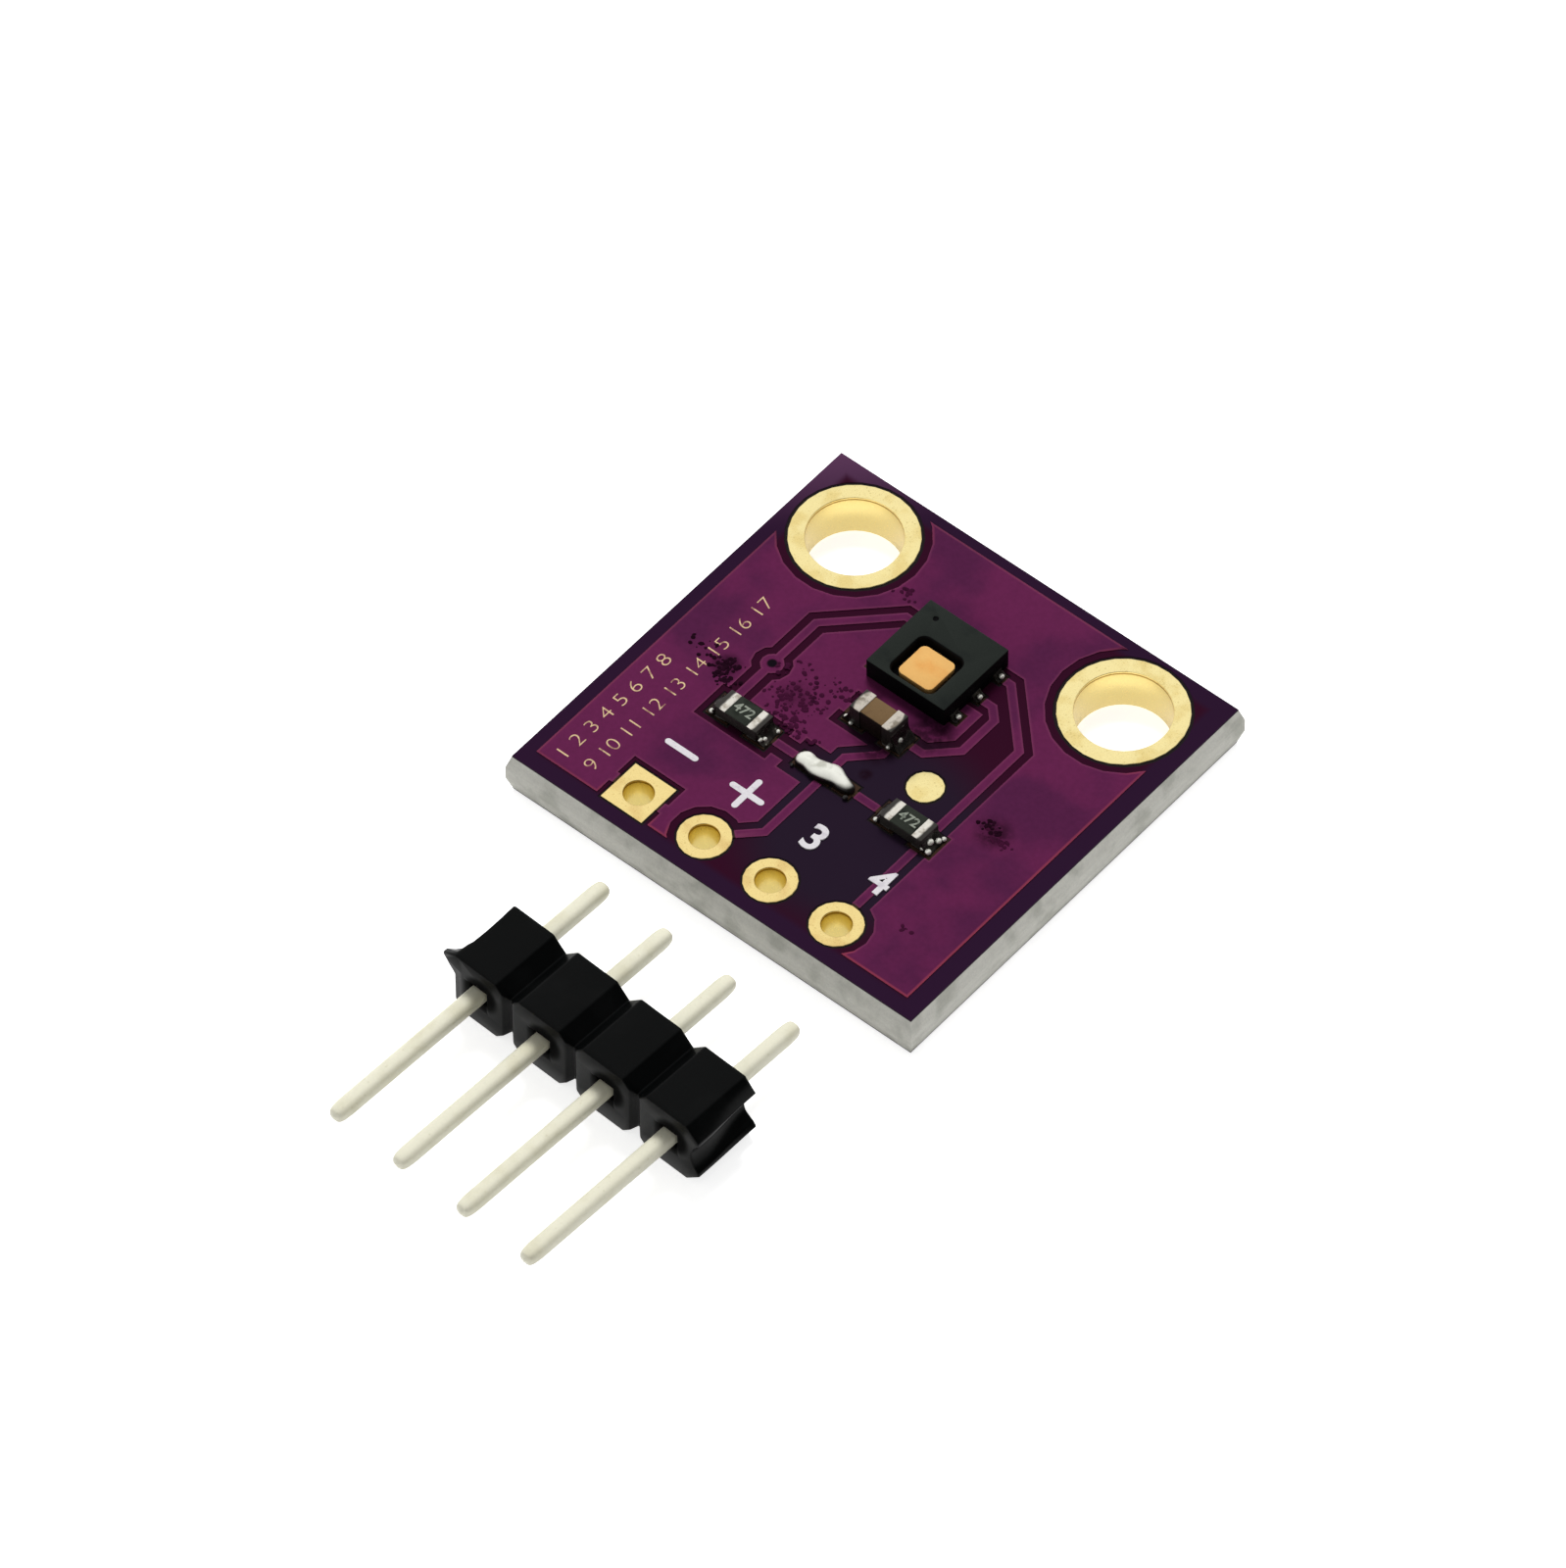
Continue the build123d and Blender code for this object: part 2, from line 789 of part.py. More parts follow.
def header_pin(index):
    """Square pin with tapered ends: the long side points away from the board."""
    front = -insulator_length / 2 - pin_long_side
    back = insulator_length / 2 + pin_short_side
    thick = pin_width / 2
    tip = pin_tip_width / 2
    stations = [(front, tip), (front + pin_taper_length, thick)]
    stations += [(back - pin_taper_length, thick), (back, tip)]
    return header_frame(Pos(header_hole_x(index), 0, 0) * square_bar(stations))


def parts():
    """Every piece under its node's name."""
    pieces = {
        "board_core": board_core(),
        "top_copper": top_copper(),
        "bottom_copper": bottom_copper(),
        "top_solder_mask": top_solder_mask(),
        "bottom_solder_mask": bottom_solder_mask(),
        "mounting_hole_plating_left": mounting_hole_plating(-1),
        "mounting_hole_plating_right": mounting_hole_plating(1),
        "via_plating": via_plating(),
        "test_pad": test_pad(),
        "sensor_package": sensor_package(),
        "sensing_film": sensing_film(),
        "sensor_leads": sensor_leads(),
        "sensor_solder": sensor_solder(),
        "capacitor_body": capacitor_body(),
        "capacitor_terminals": capacitor_terminals(),
        "capacitor_solder": chip_solder(capacitor_x, capacitor_y, capacitor_height),
        "jumper_solder": jumper_solder(),
        "header_insulator": header_insulator(),
    }
    for index in range(header_count):
        pieces[f"header_hole_plating_{index + 1}"] = header_hole_plating(index)
        pieces[f"header_pin_{index + 1}"] = header_pin(index)
    for name, x in (("left", resistor_left_x), ("right", resistor_right_x)):
        pieces[f"resistor_{name}_substrate"] = resistor_substrate(x)
        pieces[f"resistor_{name}_overcoat"] = resistor_overcoat(x)
        pieces[f"resistor_{name}_terminals"] = resistor_terminals(x)
        pieces[f"resistor_{name}_solder"] = chip_solder(x, resistor_y, resistor_height)
    return pieces


os.makedirs("parts", exist_ok=True)
for name, piece in parts().items():
    export_step(piece, f"parts/{name}.step")
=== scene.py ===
"""Looks of the temperature and humidity sensor module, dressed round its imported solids."""

import logging
import math
from dataclasses import dataclass
from enum import Enum
from typing import Any, Iterable, Sequence

import bmesh
import bpy
from mathutils import Matrix, Vector, noise


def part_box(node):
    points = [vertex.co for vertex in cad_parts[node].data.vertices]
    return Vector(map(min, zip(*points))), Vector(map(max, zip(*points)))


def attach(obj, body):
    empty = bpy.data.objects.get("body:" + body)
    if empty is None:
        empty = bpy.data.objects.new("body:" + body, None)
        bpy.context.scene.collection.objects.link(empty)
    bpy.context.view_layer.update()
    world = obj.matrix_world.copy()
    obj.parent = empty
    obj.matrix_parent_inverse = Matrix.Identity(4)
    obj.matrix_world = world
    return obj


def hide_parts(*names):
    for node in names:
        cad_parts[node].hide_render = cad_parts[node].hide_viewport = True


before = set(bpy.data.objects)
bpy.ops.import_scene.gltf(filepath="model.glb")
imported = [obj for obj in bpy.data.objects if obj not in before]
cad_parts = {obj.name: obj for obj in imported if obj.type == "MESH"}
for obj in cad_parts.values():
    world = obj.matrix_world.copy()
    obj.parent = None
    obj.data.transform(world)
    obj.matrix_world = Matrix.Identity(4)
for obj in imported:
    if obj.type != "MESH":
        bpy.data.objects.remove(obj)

LOG = logging.getLogger("sensor_module")
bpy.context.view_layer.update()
MM = 0.001
BODY = "root"
WHITE = (1.0, 1.0, 1.0, 1.0)
# Pitch of the pins, and place and turn of the loose header, in millimetres and degrees
PITCH = 2.54
HEADER_PLACE = (1.07, -13.77, 1.25)
HEADER_TURN = -2.7
# Millimetres within which two points of a solid or of a digit are one
SOLID_MERGE = 0.0004
DIGIT_MERGE = 0.0002
# Degrees up to which two faces of a solid are one flat face, and from which its edges are rounded
FLAT_ANGLE = 1.0
ROUNDED_ANGLE = 30.0
# Height of a digit over the size of its type
DIGIT_SHARE = 0.7
Colour = tuple[float, float, float, float]
Point = tuple[float, float, float]
Pair = tuple[float, float]
Dot = tuple[float, float, float, float]
Socket = bpy.types.NodeSocket
Sockets = bpy.types.bpy_prop_collection
Node = bpy.types.Node
Material = bpy.types.Material
Mesh = bmesh.types.BMesh
Group = bpy.types.NodeTree


def srgb(red: float, green: float, blue: float) -> Colour:
    """Turn a screen colour into the linear colour that a shader takes.

    Args:
        red: Red from 0 to 255.
        green: Green from 0 to 255.
        blue: Blue from 0 to 255.

    Returns:
        The linear colour with full alpha.
    """
    def linear(value: float) -> float:
        """Undo the screen curve for one channel."""
        share = value / 255
        return share / 12.92 if share <= 0.04045 else ((share + 0.055) / 1.055) ** 2.4

    return (linear(red), linear(green), linear(blue), 1.0)


class Slot(Enum):
    """Material slots of the record."""

    LAMINATE = "laminate"
    COPPER = "copper"
    LACQUER = "solder_mask"
    GOLD = "gold"
    MOULDING = "moulding_compound"
    FILM = "sensing_film"
    TIN = "tin"
    SOLDER = "solder"
    CERAMIC = "capacitor_ceramic"
    ALUMINA = "alumina"
    GLAZE = "resistor_glaze"
    HEADER = "header_plastic"
    PIN = "pin_plating"


class Tree:
    """A node tree with short calls that add a node and join its inputs."""

    def __init__(self, tree: Group) -> None:
        """Wrap a node tree."""
        self.tree = tree

    def node(self, kind: str, inputs: dict[Any, Any] | None = None, **settings: Any) -> Node:
        """Add one node.

        Args:
            kind: The node's type name.
            inputs: Values or output sockets by input name or number.
            **settings: Properties of the node itself.

        Returns:
            The new node.
        """
        node = self.tree.nodes.new(kind)
        for name, value in settings.items():
            setattr(node, name, value)
        for key, value in (inputs or {}).items():
            if isinstance(value, Socket):
                self.tree.links.new(value, node.inputs[key])
            else:
                node.inputs[key].default_value = value
        return node

    def maths(self, operation: str, first: Any, second: Any = 0.0, clamp: bool = False) -> Socket:
        """Add a Math node and return its value."""
        inputs = {0: first, 1: second}
        return self.node("ShaderNodeMath", inputs, operation=operation, use_clamp=clamp).outputs[0]

    def vector(self, operation: str, first: Any, second: Any) -> Sockets:
        """Add a Vector Math node and return its outputs."""
        return self.node("ShaderNodeVectorMath", {0: first, 1: second}, operation=operation).outputs

    def mix(self, factor: Any, first: Any, second: Any, blend: str = "MIX") -> Socket:
        """Add a colour Mix node and return its colour."""
        inputs = {0: factor, 6: first, 7: second}
        return self.node("ShaderNodeMix", inputs, data_type="RGBA", blend_type=blend).outputs[2]

    def span(self, value: Any, low: Any, high: Any, to_low: Any = 0.0, to_high: Any = 1.0) -> Socket:
        """Add a smooth Map Range node and return its result."""
        inputs = {"Value": value, "From Min": low, "From Max": high, "To Min": to_low, "To Max": to_high}
        return self.node("ShaderNodeMapRange", inputs, interpolation_type="SMOOTHSTEP").outputs["Result"]

    def noise(self, vector: Any, scale: Any, detail: float = 2.0) -> Socket:
        """Add a Noise Texture node and return its value."""
        inputs = {"Vector": vector, "Scale": scale, "Detail": detail}
        return self.node("ShaderNodeTexNoise", inputs).outputs["Fac"]

    def mask(self, group: Group, place: Socket, **values: Any) -> Socket:
        """Place a shared group on the given coordinates and return its mask."""
        return self.node("ShaderNodeGroup", {"Vector": place, **values}, node_tree=group).outputs["Mask"]

    def near(self, place: Socket, centres: Sequence[Point], core: float, edge: float) -> Socket:
        """Make a mask that is 1 about each of several centres.

        Args:
            place: The Object coordinates.
            centres: The centres in metres.
            core: Distance up to which the mask is 1.
            edge: Distance from which it is 0.

        Returns:
            The mask.
        """
        whole: Any = 0.0
        for centre in centres:
            spot = self.mask(Groups.spot, place, Centre=centre, Core=core, Edge=edge)
            whole = self.maths("MAXIMUM", whole, spot)
        return whole

    def put_out(self, **values: Socket) -> Group:
        """Add the group's output node, join its sockets and return the group."""
        self.node("NodeGroupOutput", values)
        return self.tree


def cleared(owner: Any) -> Tree:
    """Empty the node tree of a material or a world.

    Args:
        owner: The material or world.

    Returns:
        Its tree.
    """
    owner.use_nodes = True
    owner.node_tree.nodes.clear()
    return Tree(owner.node_tree)


def node_group(name: str, inputs: dict[str, str], outputs: dict[str, str],
               family: str = "ShaderNodeTree") -> tuple[Tree, Sockets]:
    """Make an empty node group with its sockets, which every use gives its own values.

    Args:
        name: The group's name.
        inputs: Names of the inputs by kind, with commas between them.
        outputs: Names of the outputs by kind, with commas between them.
        family: Type of its tree.

    Returns:
        The group's tree and the sockets that it is given.
    """
    group = bpy.data.node_groups.new(name, family)
    for side, sockets in (("INPUT", inputs), ("OUTPUT", outputs)):
        for kind, labels in sockets.items():
            for label in labels.split(", "):
                group.interface.new_socket(label, in_out=side, socket_type="NodeSocket" + kind)
    return Tree(group), group.nodes.new("NodeGroupInput").outputs


class Groups:
    """The shader groups that the finishes share, each made once."""

    patches: Group
    specks: Group
    level: Group
    spot: Group

    @staticmethod
    def make_patches() -> Group:
        """Make the group for soft patches of a second tone with a fine grain over them.

        Returns:
            A group that puts out a colour, a roughness and a height.
        """
        tree, given = node_group(
            "patches_and_grain",
            {"Vector": "Vector", "Color": "Tone, Patch Tone",
             "Float": "Patch Scale, Patch Start, Grain Scale, Grain Depth, Roughness, Roughness Spread"},
            {"Color": "Color", "Float": "Roughness, Height"})
        patch = tree.noise(given["Vector"], given["Patch Scale"], 3.0)
        patch_end = tree.maths("ADD", given["Patch Start"], 0.22)
        patched = tree.span(patch, given["Patch Start"], patch_end)
        tone = tree.mix(patched, given["Tone"], given["Patch Tone"])
        grain = tree.noise(given["Vector"], given["Grain Scale"])
        swing = tree.maths("SUBTRACT", grain, 0.5)
        lift = tree.maths("MULTIPLY", swing, given["Grain Depth"])
        gain = tree.maths("ADD", tree.maths("MULTIPLY", lift, 2.0), 1.0)
        shade = tree.node("ShaderNodeCombineColor", {0: gain, 1: gain, 2: gain}).outputs[0]
        spread = tree.maths("MULTIPLY", swing, given["Roughness Spread"])
        rough = tree.maths("ADD", given["Roughness"], spread, clamp=True)
        return tree.put_out(Color=tree.mix(1.0, tone, shade, "MULTIPLY"), Roughness=rough, Height=grain)

    @staticmethod
    def make_specks() -> Group:
        """Make the group for scattered fine specks.

        Returns:
            A group that puts out a mask, 1 inside a speck.
        """
        tree, given = node_group("fine_specks", {"Vector": "Vector", "Float": "Scale, Radius, Share"},
                                 {"Float": "Mask"})
        inputs = {"Vector": given["Vector"], "Scale": given["Scale"]}
        cells = tree.node("ShaderNodeTexVoronoi", inputs).outputs
        inside = tree.span(cells["Distance"], given["Radius"], 0.0)
        red = tree.node("ShaderNodeSeparateColor", {0: cells["Color"]}).outputs[0]
        chosen = tree.maths("LESS_THAN", red, given["Share"])
        return tree.put_out(Mask=tree.maths("MULTIPLY", inside, chosen))

    @staticmethod
    def make_level() -> Group:
        """Make the group that tells what lies above a height.

        Returns:
            A group that puts out a mask, 1 above the level.
        """
        tree, given = node_group("above_level", {"Vector": "Vector", "Float": "Level, Blend"},
                                 {"Float": "Mask"})
        height = tree.node("ShaderNodeSeparateXYZ", {0: given["Vector"]}).outputs["Z"]
        low, high = (tree.maths(step, given["Level"], given["Blend"]) for step in ("SUBTRACT", "ADD"))
        return tree.put_out(Mask=tree.span(height, low, high))

    @staticmethod
    def make_spot() -> Group:
        """Make the group for one round spot about a point.

        Returns:
            A group that puts out a mask, 1 at the spot's centre.
        """
        tree, given = node_group("round_spot", {"Vector": "Vector, Centre", "Float": "Core, Edge"},
                                 {"Float": "Mask"})
        away = tree.vector("DISTANCE", given["Vector"], given["Centre"])["Value"]
        return tree.put_out(Mask=tree.span(away, given["Edge"], given["Core"]))

    @classmethod
    def build(cls) -> None:
        """Make every shared group."""
        cls.patches, cls.specks = cls.make_patches(), cls.make_specks()
        cls.level, cls.spot = cls.make_level(), cls.make_spot()


@dataclass(frozen=True)
class Ground:
    """What a finish is laid on: its tree, the Object coordinates and the outputs of the patches."""

    tree: Tree
    place: Socket
    base: Sockets


@dataclass(frozen=True)
class Finish:
    """A finish with patches of a second tone and a fine grain.

    The pairs are scale and start of the patches, scale and depth of the grain, the roughness and its spread,
    and strength and depth in metres of the bump.
    """

    name: str
    tone: Colour
    patch_tone: Colour
    patches: Pair = (400.0, 0.5)
    grain: Pair = (12000.0, 0.08)
    roughness: Pair = (0.5, 0.1)
    metallic: float = 0.0
    specular: float = 0.5
    bump: Pair = (0.3, 0.000004)

    def colour(self, ground: Ground) -> Socket:
        """Return the final colour; a finish with more on it overrides this."""
        return ground.base["Color"]

    def rough(self, ground: Ground) -> Socket:
        """Return the final roughness; a finish with more on it overrides this."""
        return ground.base["Roughness"]

    def height(self, ground: Ground) -> Socket:
        """Return the height for the bump; a finish with more on it overrides this."""
        return ground.base["Height"]

    def build(self) -> Material:
        """Make the material.

        Returns:
            The finished material.
        """
        material = bpy.data.materials.new(self.name)
        tree = cleared(material)
        place = tree.node("ShaderNodeTexCoord").outputs["Object"]
        values = {"Vector": place, "Tone": self.tone, "Patch Tone": self.patch_tone}
        for label, value in zip(("Patch Scale", "Patch Start", "Grain Scale", "Grain Depth", "Roughness",
                                 "Roughness Spread"), self.patches + self.grain + self.roughness):
            values[label] = value
        ground = Ground(tree, place, tree.node("ShaderNodeGroup", values, node_tree=Groups.patches).outputs)
        strength, depth = self.bump
        relief = tree.node("ShaderNodeBump", {"Height": self.height(ground), "Strength": strength,
                                              "Distance": depth})
        shader = tree.node("ShaderNodeBsdfPrincipled", {
            "Base Color": self.colour(ground), "Roughness": self.rough(ground), "Metallic": self.metallic,
            "Specular IOR Level": self.specular, "Normal": relief.outputs["Normal"]})
        tree.node("ShaderNodeOutputMaterial", {"Surface": shader.outputs["BSDF"]})
        return material


@dataclass(frozen=True)
class LacquerFinish(Finish):
    """Lacquer over copper and over bare laminate, told apart by height, in metres."""

    field_tone: Colour = srgb(35, 23, 39)
    edge_tone: Colour = srgb(41, 19, 44)
    # Lighter tone of the border at the back corner: a painted highlight
    corner_highlight_tone: Colour = srgb(88, 54, 84)
    moat_tone: Colour = srgb(47, 9, 32)
    rim_tone: Colour = srgb(140, 56, 76)
    line_tone: Colour = srgb(122, 58, 90)
    # Tone of the dark spots: painted shadow beside the package and the capacitor, stains elsewhere
    stain_and_shadow_tone: Colour = srgb(24, 5, 18)
    via_tone: Colour = srgb(14, 8, 16)
    stains_and_shadows: tuple[tuple[Point, float, float], ...] = ()
    level: float = 0.0016
    level_blend: float = 0.000006
    copper_above: bool = True
    border: Pair = (0.00685, 0.00715)
    back_corner_highlight: Pair = (0.011, 0.0156)
    field_centre: Point = (0.0022, -0.003, 0.0016)
    field_reach: Pair = (0.0026, 0.0046)
    line_weight: float = 0.62
    rim_front: Pair = (-0.004, 0.011)
    rim_outer: Pair = (0.0064, 0.0069)
    rim_least: float = 0.3
    stain_and_shadow_core: float = 0.3
    stain_and_shadow_scale: float = 5200.0
    stain_and_shadow_least: float = 0.45
    via_centre: Point = (-0.00402, 0.00002, 0.00162)
    via_reach: Pair = (0.00012, 0.0002)

    def colour(self, ground: Ground) -> Socket:
        """Lay the tone over copper, the tones of bare places, the rim lines, the dark spots of painted shadow
        and stain, and the via's dot.

        Args:
            ground: What the finish is laid on.

        Returns:
            The final colour.
        """
        tree, place = ground.tree, ground.place
        raised = tree.mask(Groups.level, place, Level=self.level, Blend=self.level_blend)
        if not self.copper_above:
            raised = tree.maths("SUBTRACT", 1.0, raised)
        parts = tree.node("ShaderNodeSeparateXYZ", {0: place}).outputs
        x, y = parts["X"], parts["Y"]
        reach = tree.maths("MAXIMUM", tree.maths("ABSOLUTE", x), tree.maths("ABSOLUTE", y))
        core, edge = self.field_reach
        field = tree.mask(Groups.spot, place, Centre=self.field_centre, Core=core, Edge=edge)
        # The border lightens towards the back corner: a painted highlight
        back = tree.span(tree.maths("SUBTRACT", y, x), *self.back_corner_highlight)
        low = tree.mix(tree.span(reach, *self.border), tree.mix(field, self.moat_tone, self.field_tone),
                       tree.mix(back, self.edge_tone, self.corner_highlight_tone))
        tone = tree.mix(raised, low, ground.base["Color"])
        rim = tree.node("ShaderNodeAttribute", attribute_name="rim").outputs["Fac"]
        tone = tree.mix(tree.maths("MULTIPLY", rim, self.line_weight), tone, self.line_tone)
        front = tree.span(tree.maths("SUBTRACT", x, y), *self.rim_front, self.rim_least, 1.0)
        outer = tree.maths("MULTIPLY", front, tree.span(reach, *self.rim_outer))
        tone = tree.mix(tree.maths("MULTIPLY", tree.maths("POWER", rim, 0.5), outer), tone, self.rim_tone)
        # Dark spots: painted shadow beside the parts, stains elsewhere
        for centre, edge, weight in self.stains_and_shadows:
            stain_and_shadow = tree.mask(Groups.spot, place, Centre=centre, Core=edge * self.stain_and_shadow_core, Edge=edge)
            cloud = tree.span(tree.noise(place, self.stain_and_shadow_scale, 3.0), 0.3, 0.6, self.stain_and_shadow_least, 1.0)
            mask = tree.maths("MULTIPLY", tree.maths("MULTIPLY", stain_and_shadow, cloud), weight)
            tone = tree.mix(mask, tone, self.stain_and_shadow_tone)
        core, edge = self.via_reach
        dot = tree.mask(Groups.spot, place, Centre=self.via_centre, Core=core, Edge=edge)
        return tree.mix(dot, tone, self.via_tone)


@dataclass(frozen=True)
class SpeckledFinish(Finish):
    """A finish with fine specks of another tone scattered over it."""

    speck_tone: Colour = srgb(90, 80, 60)
    speck_scale: float = 9000.0
    speck_radius: float = 0.3
    speck_share: float = 0.35
    speck_weight: float = 0.6

    def colour(self, ground: Ground) -> Socket:
        """Lay the specks over the tone.

        Args:
            ground: What the finish is laid on.

        Returns:
            The speckled colour.
        """
        specks = ground.tree.mask(Groups.specks, ground.place, Scale=self.speck_scale,
                                  Radius=self.speck_radius, Share=self.speck_share)
        weight = ground.tree.maths("MULTIPLY", specks, self.speck_weight)
        return ground.tree.mix(weight, ground.base["Color"], self.speck_tone)


@dataclass(frozen=True)
class LaminateFinish(Finish):
    """Glass laminate, with its woven layers showing as fine lines along the cut edges."""

    layer_scale: float = 1100.0
    layer_tone: Colour = srgb(120, 120, 112)
    layer_weight: float = 0.06
    ridge: float = 0.5
    face_tone: Colour = srgb(22, 16, 18)
    face_levels: Pair = (0.00008, 0.001535)
    face_blend: float = 0.00001

    def layers(self, ground: Ground, distortion: float, weight: float) -> Socket:
        """Make the uneven bands of the layers.

        Args:
            ground: What the finish is laid on.
            distortion: How wavy the bands are.
            weight: How much they count.

        Returns:
            Their value.
        """
        inputs = {"Vector": ground.place, "Scale": self.layer_scale, "Distortion": distortion, "Detail": 2.0,
                  "Detail Scale": distortion - 1.0}
        wave = ground.tree.node("ShaderNodeTexWave", inputs, wave_type="BANDS", bands_direction="Z")
        return ground.tree.maths("MULTIPLY", wave.outputs["Fac"], weight)

    def height(self, ground: Ground) -> Socket:
        """Add the layers' ridges to the grain."""
        return ground.tree.maths("ADD", ground.base["Height"], self.layers(ground, 3.0, self.ridge))

    def colour(self, ground: Ground) -> Socket:
        """Darken the laminate between the layers, and its two faces under the lacquer.

        Args:
            ground: What the finish is laid on.

        Returns:
            The final colour.
        """
        tree = ground.tree
        side = tree.mix(self.layers(ground, 4.0, self.layer_weight), ground.base["Color"], self.layer_tone)
        above, upper = (tree.mask(Groups.level, ground.place, Level=level, Blend=self.face_blend)
                        for level in self.face_levels)
        face = tree.maths("MAXIMUM", upper, tree.maths("SUBTRACT", 1.0, above))
        return tree.mix(face, side, self.face_tone)


@dataclass(frozen=True)
class LevelFinish(SpeckledFinish):
    """A speckled finish with a dark tone below a height: painted shade on the sides and lower parts of
    things.
    """

    level: float = 0.0024
    blend: float = 0.000005
    # Tone below the level: painted shade
    low_shade_tone: Colour = srgb(12, 13, 13)

    def colour(self, ground: Ground) -> Socket:
        """Keep the speckled tone for what lies above the level."""
        above = ground.tree.mask(Groups.level, ground.place, Level=self.level, Blend=self.blend)
        return ground.tree.mix(above, self.low_shade_tone, super().colour(ground))


@dataclass(frozen=True)
class PlatedFinish(LevelFinish):
    """Gold plating with a thin darker line just inside the mouth of its hole and a darker wall below it, both
    painted shade.
    """

    shade_line_level: float = 0.00148
    # Tone of the painted shade line
    line_tone: Colour = srgb(150, 120, 62)

    def colour(self, ground: Ground) -> Socket:
        """Draw the painted shade line between the two levels."""
        masks = [ground.tree.mask(Groups.level, ground.place, Level=level, Blend=self.blend)
                 for level in (self.shade_line_level, self.level)]
        return ground.tree.mix(ground.tree.maths("SUBTRACT", *masks), super().colour(ground), self.line_tone)


@dataclass(frozen=True)
class EndCapFinish(LevelFinish):
    """Tin on the end caps of chip parts, bright only near the part's middle and above a height; elsewhere it
    takes the dark low tone: painted shade.
    """

    centres: tuple[Point, ...] = ()
    reach: float = 0.0006
    reach_blend: float = 0.00004

    def colour(self, ground: Ground) -> Socket:
        """Darken what lies further from each centre than the reach."""
        near = ground.tree.near(ground.place, self.centres, self.reach - self.reach_blend,
                                self.reach + self.reach_blend)
        return ground.tree.mix(near, self.low_shade_tone, super().colour(ground))


@dataclass(frozen=True)
class HeaderFinish(Finish):
    """Black moulding, dull and painted darker round the mouths of its pins: painted shade in the recesses."""

    shade_funnels: tuple[Point, ...] = ()
    shade_funnel_reach: Pair = (0.00042, 0.00078)
    shade_funnel_tone: Colour = srgb(2, 2, 2)
    funnel_roughness: float = 0.7

    def shaded_openings(self, ground: Ground) -> Socket:
        """Return a mask that is 1 at each opening."""
        return ground.tree.near(ground.place, self.shade_funnels, *self.shade_funnel_reach)

    def colour(self, ground: Ground) -> Socket:
        """Paint shade into the mouths of the pins."""
        return ground.tree.mix(self.shaded_openings(ground), ground.base["Color"], self.shade_funnel_tone)

    def rough(self, ground: Ground) -> Socket:
        """Dull the openings."""
        dull = ground.tree.maths("MULTIPLY", self.shaded_openings(ground), self.funnel_roughness)
        return ground.tree.maths("ADD", ground.base["Roughness"], dull, clamp=True)


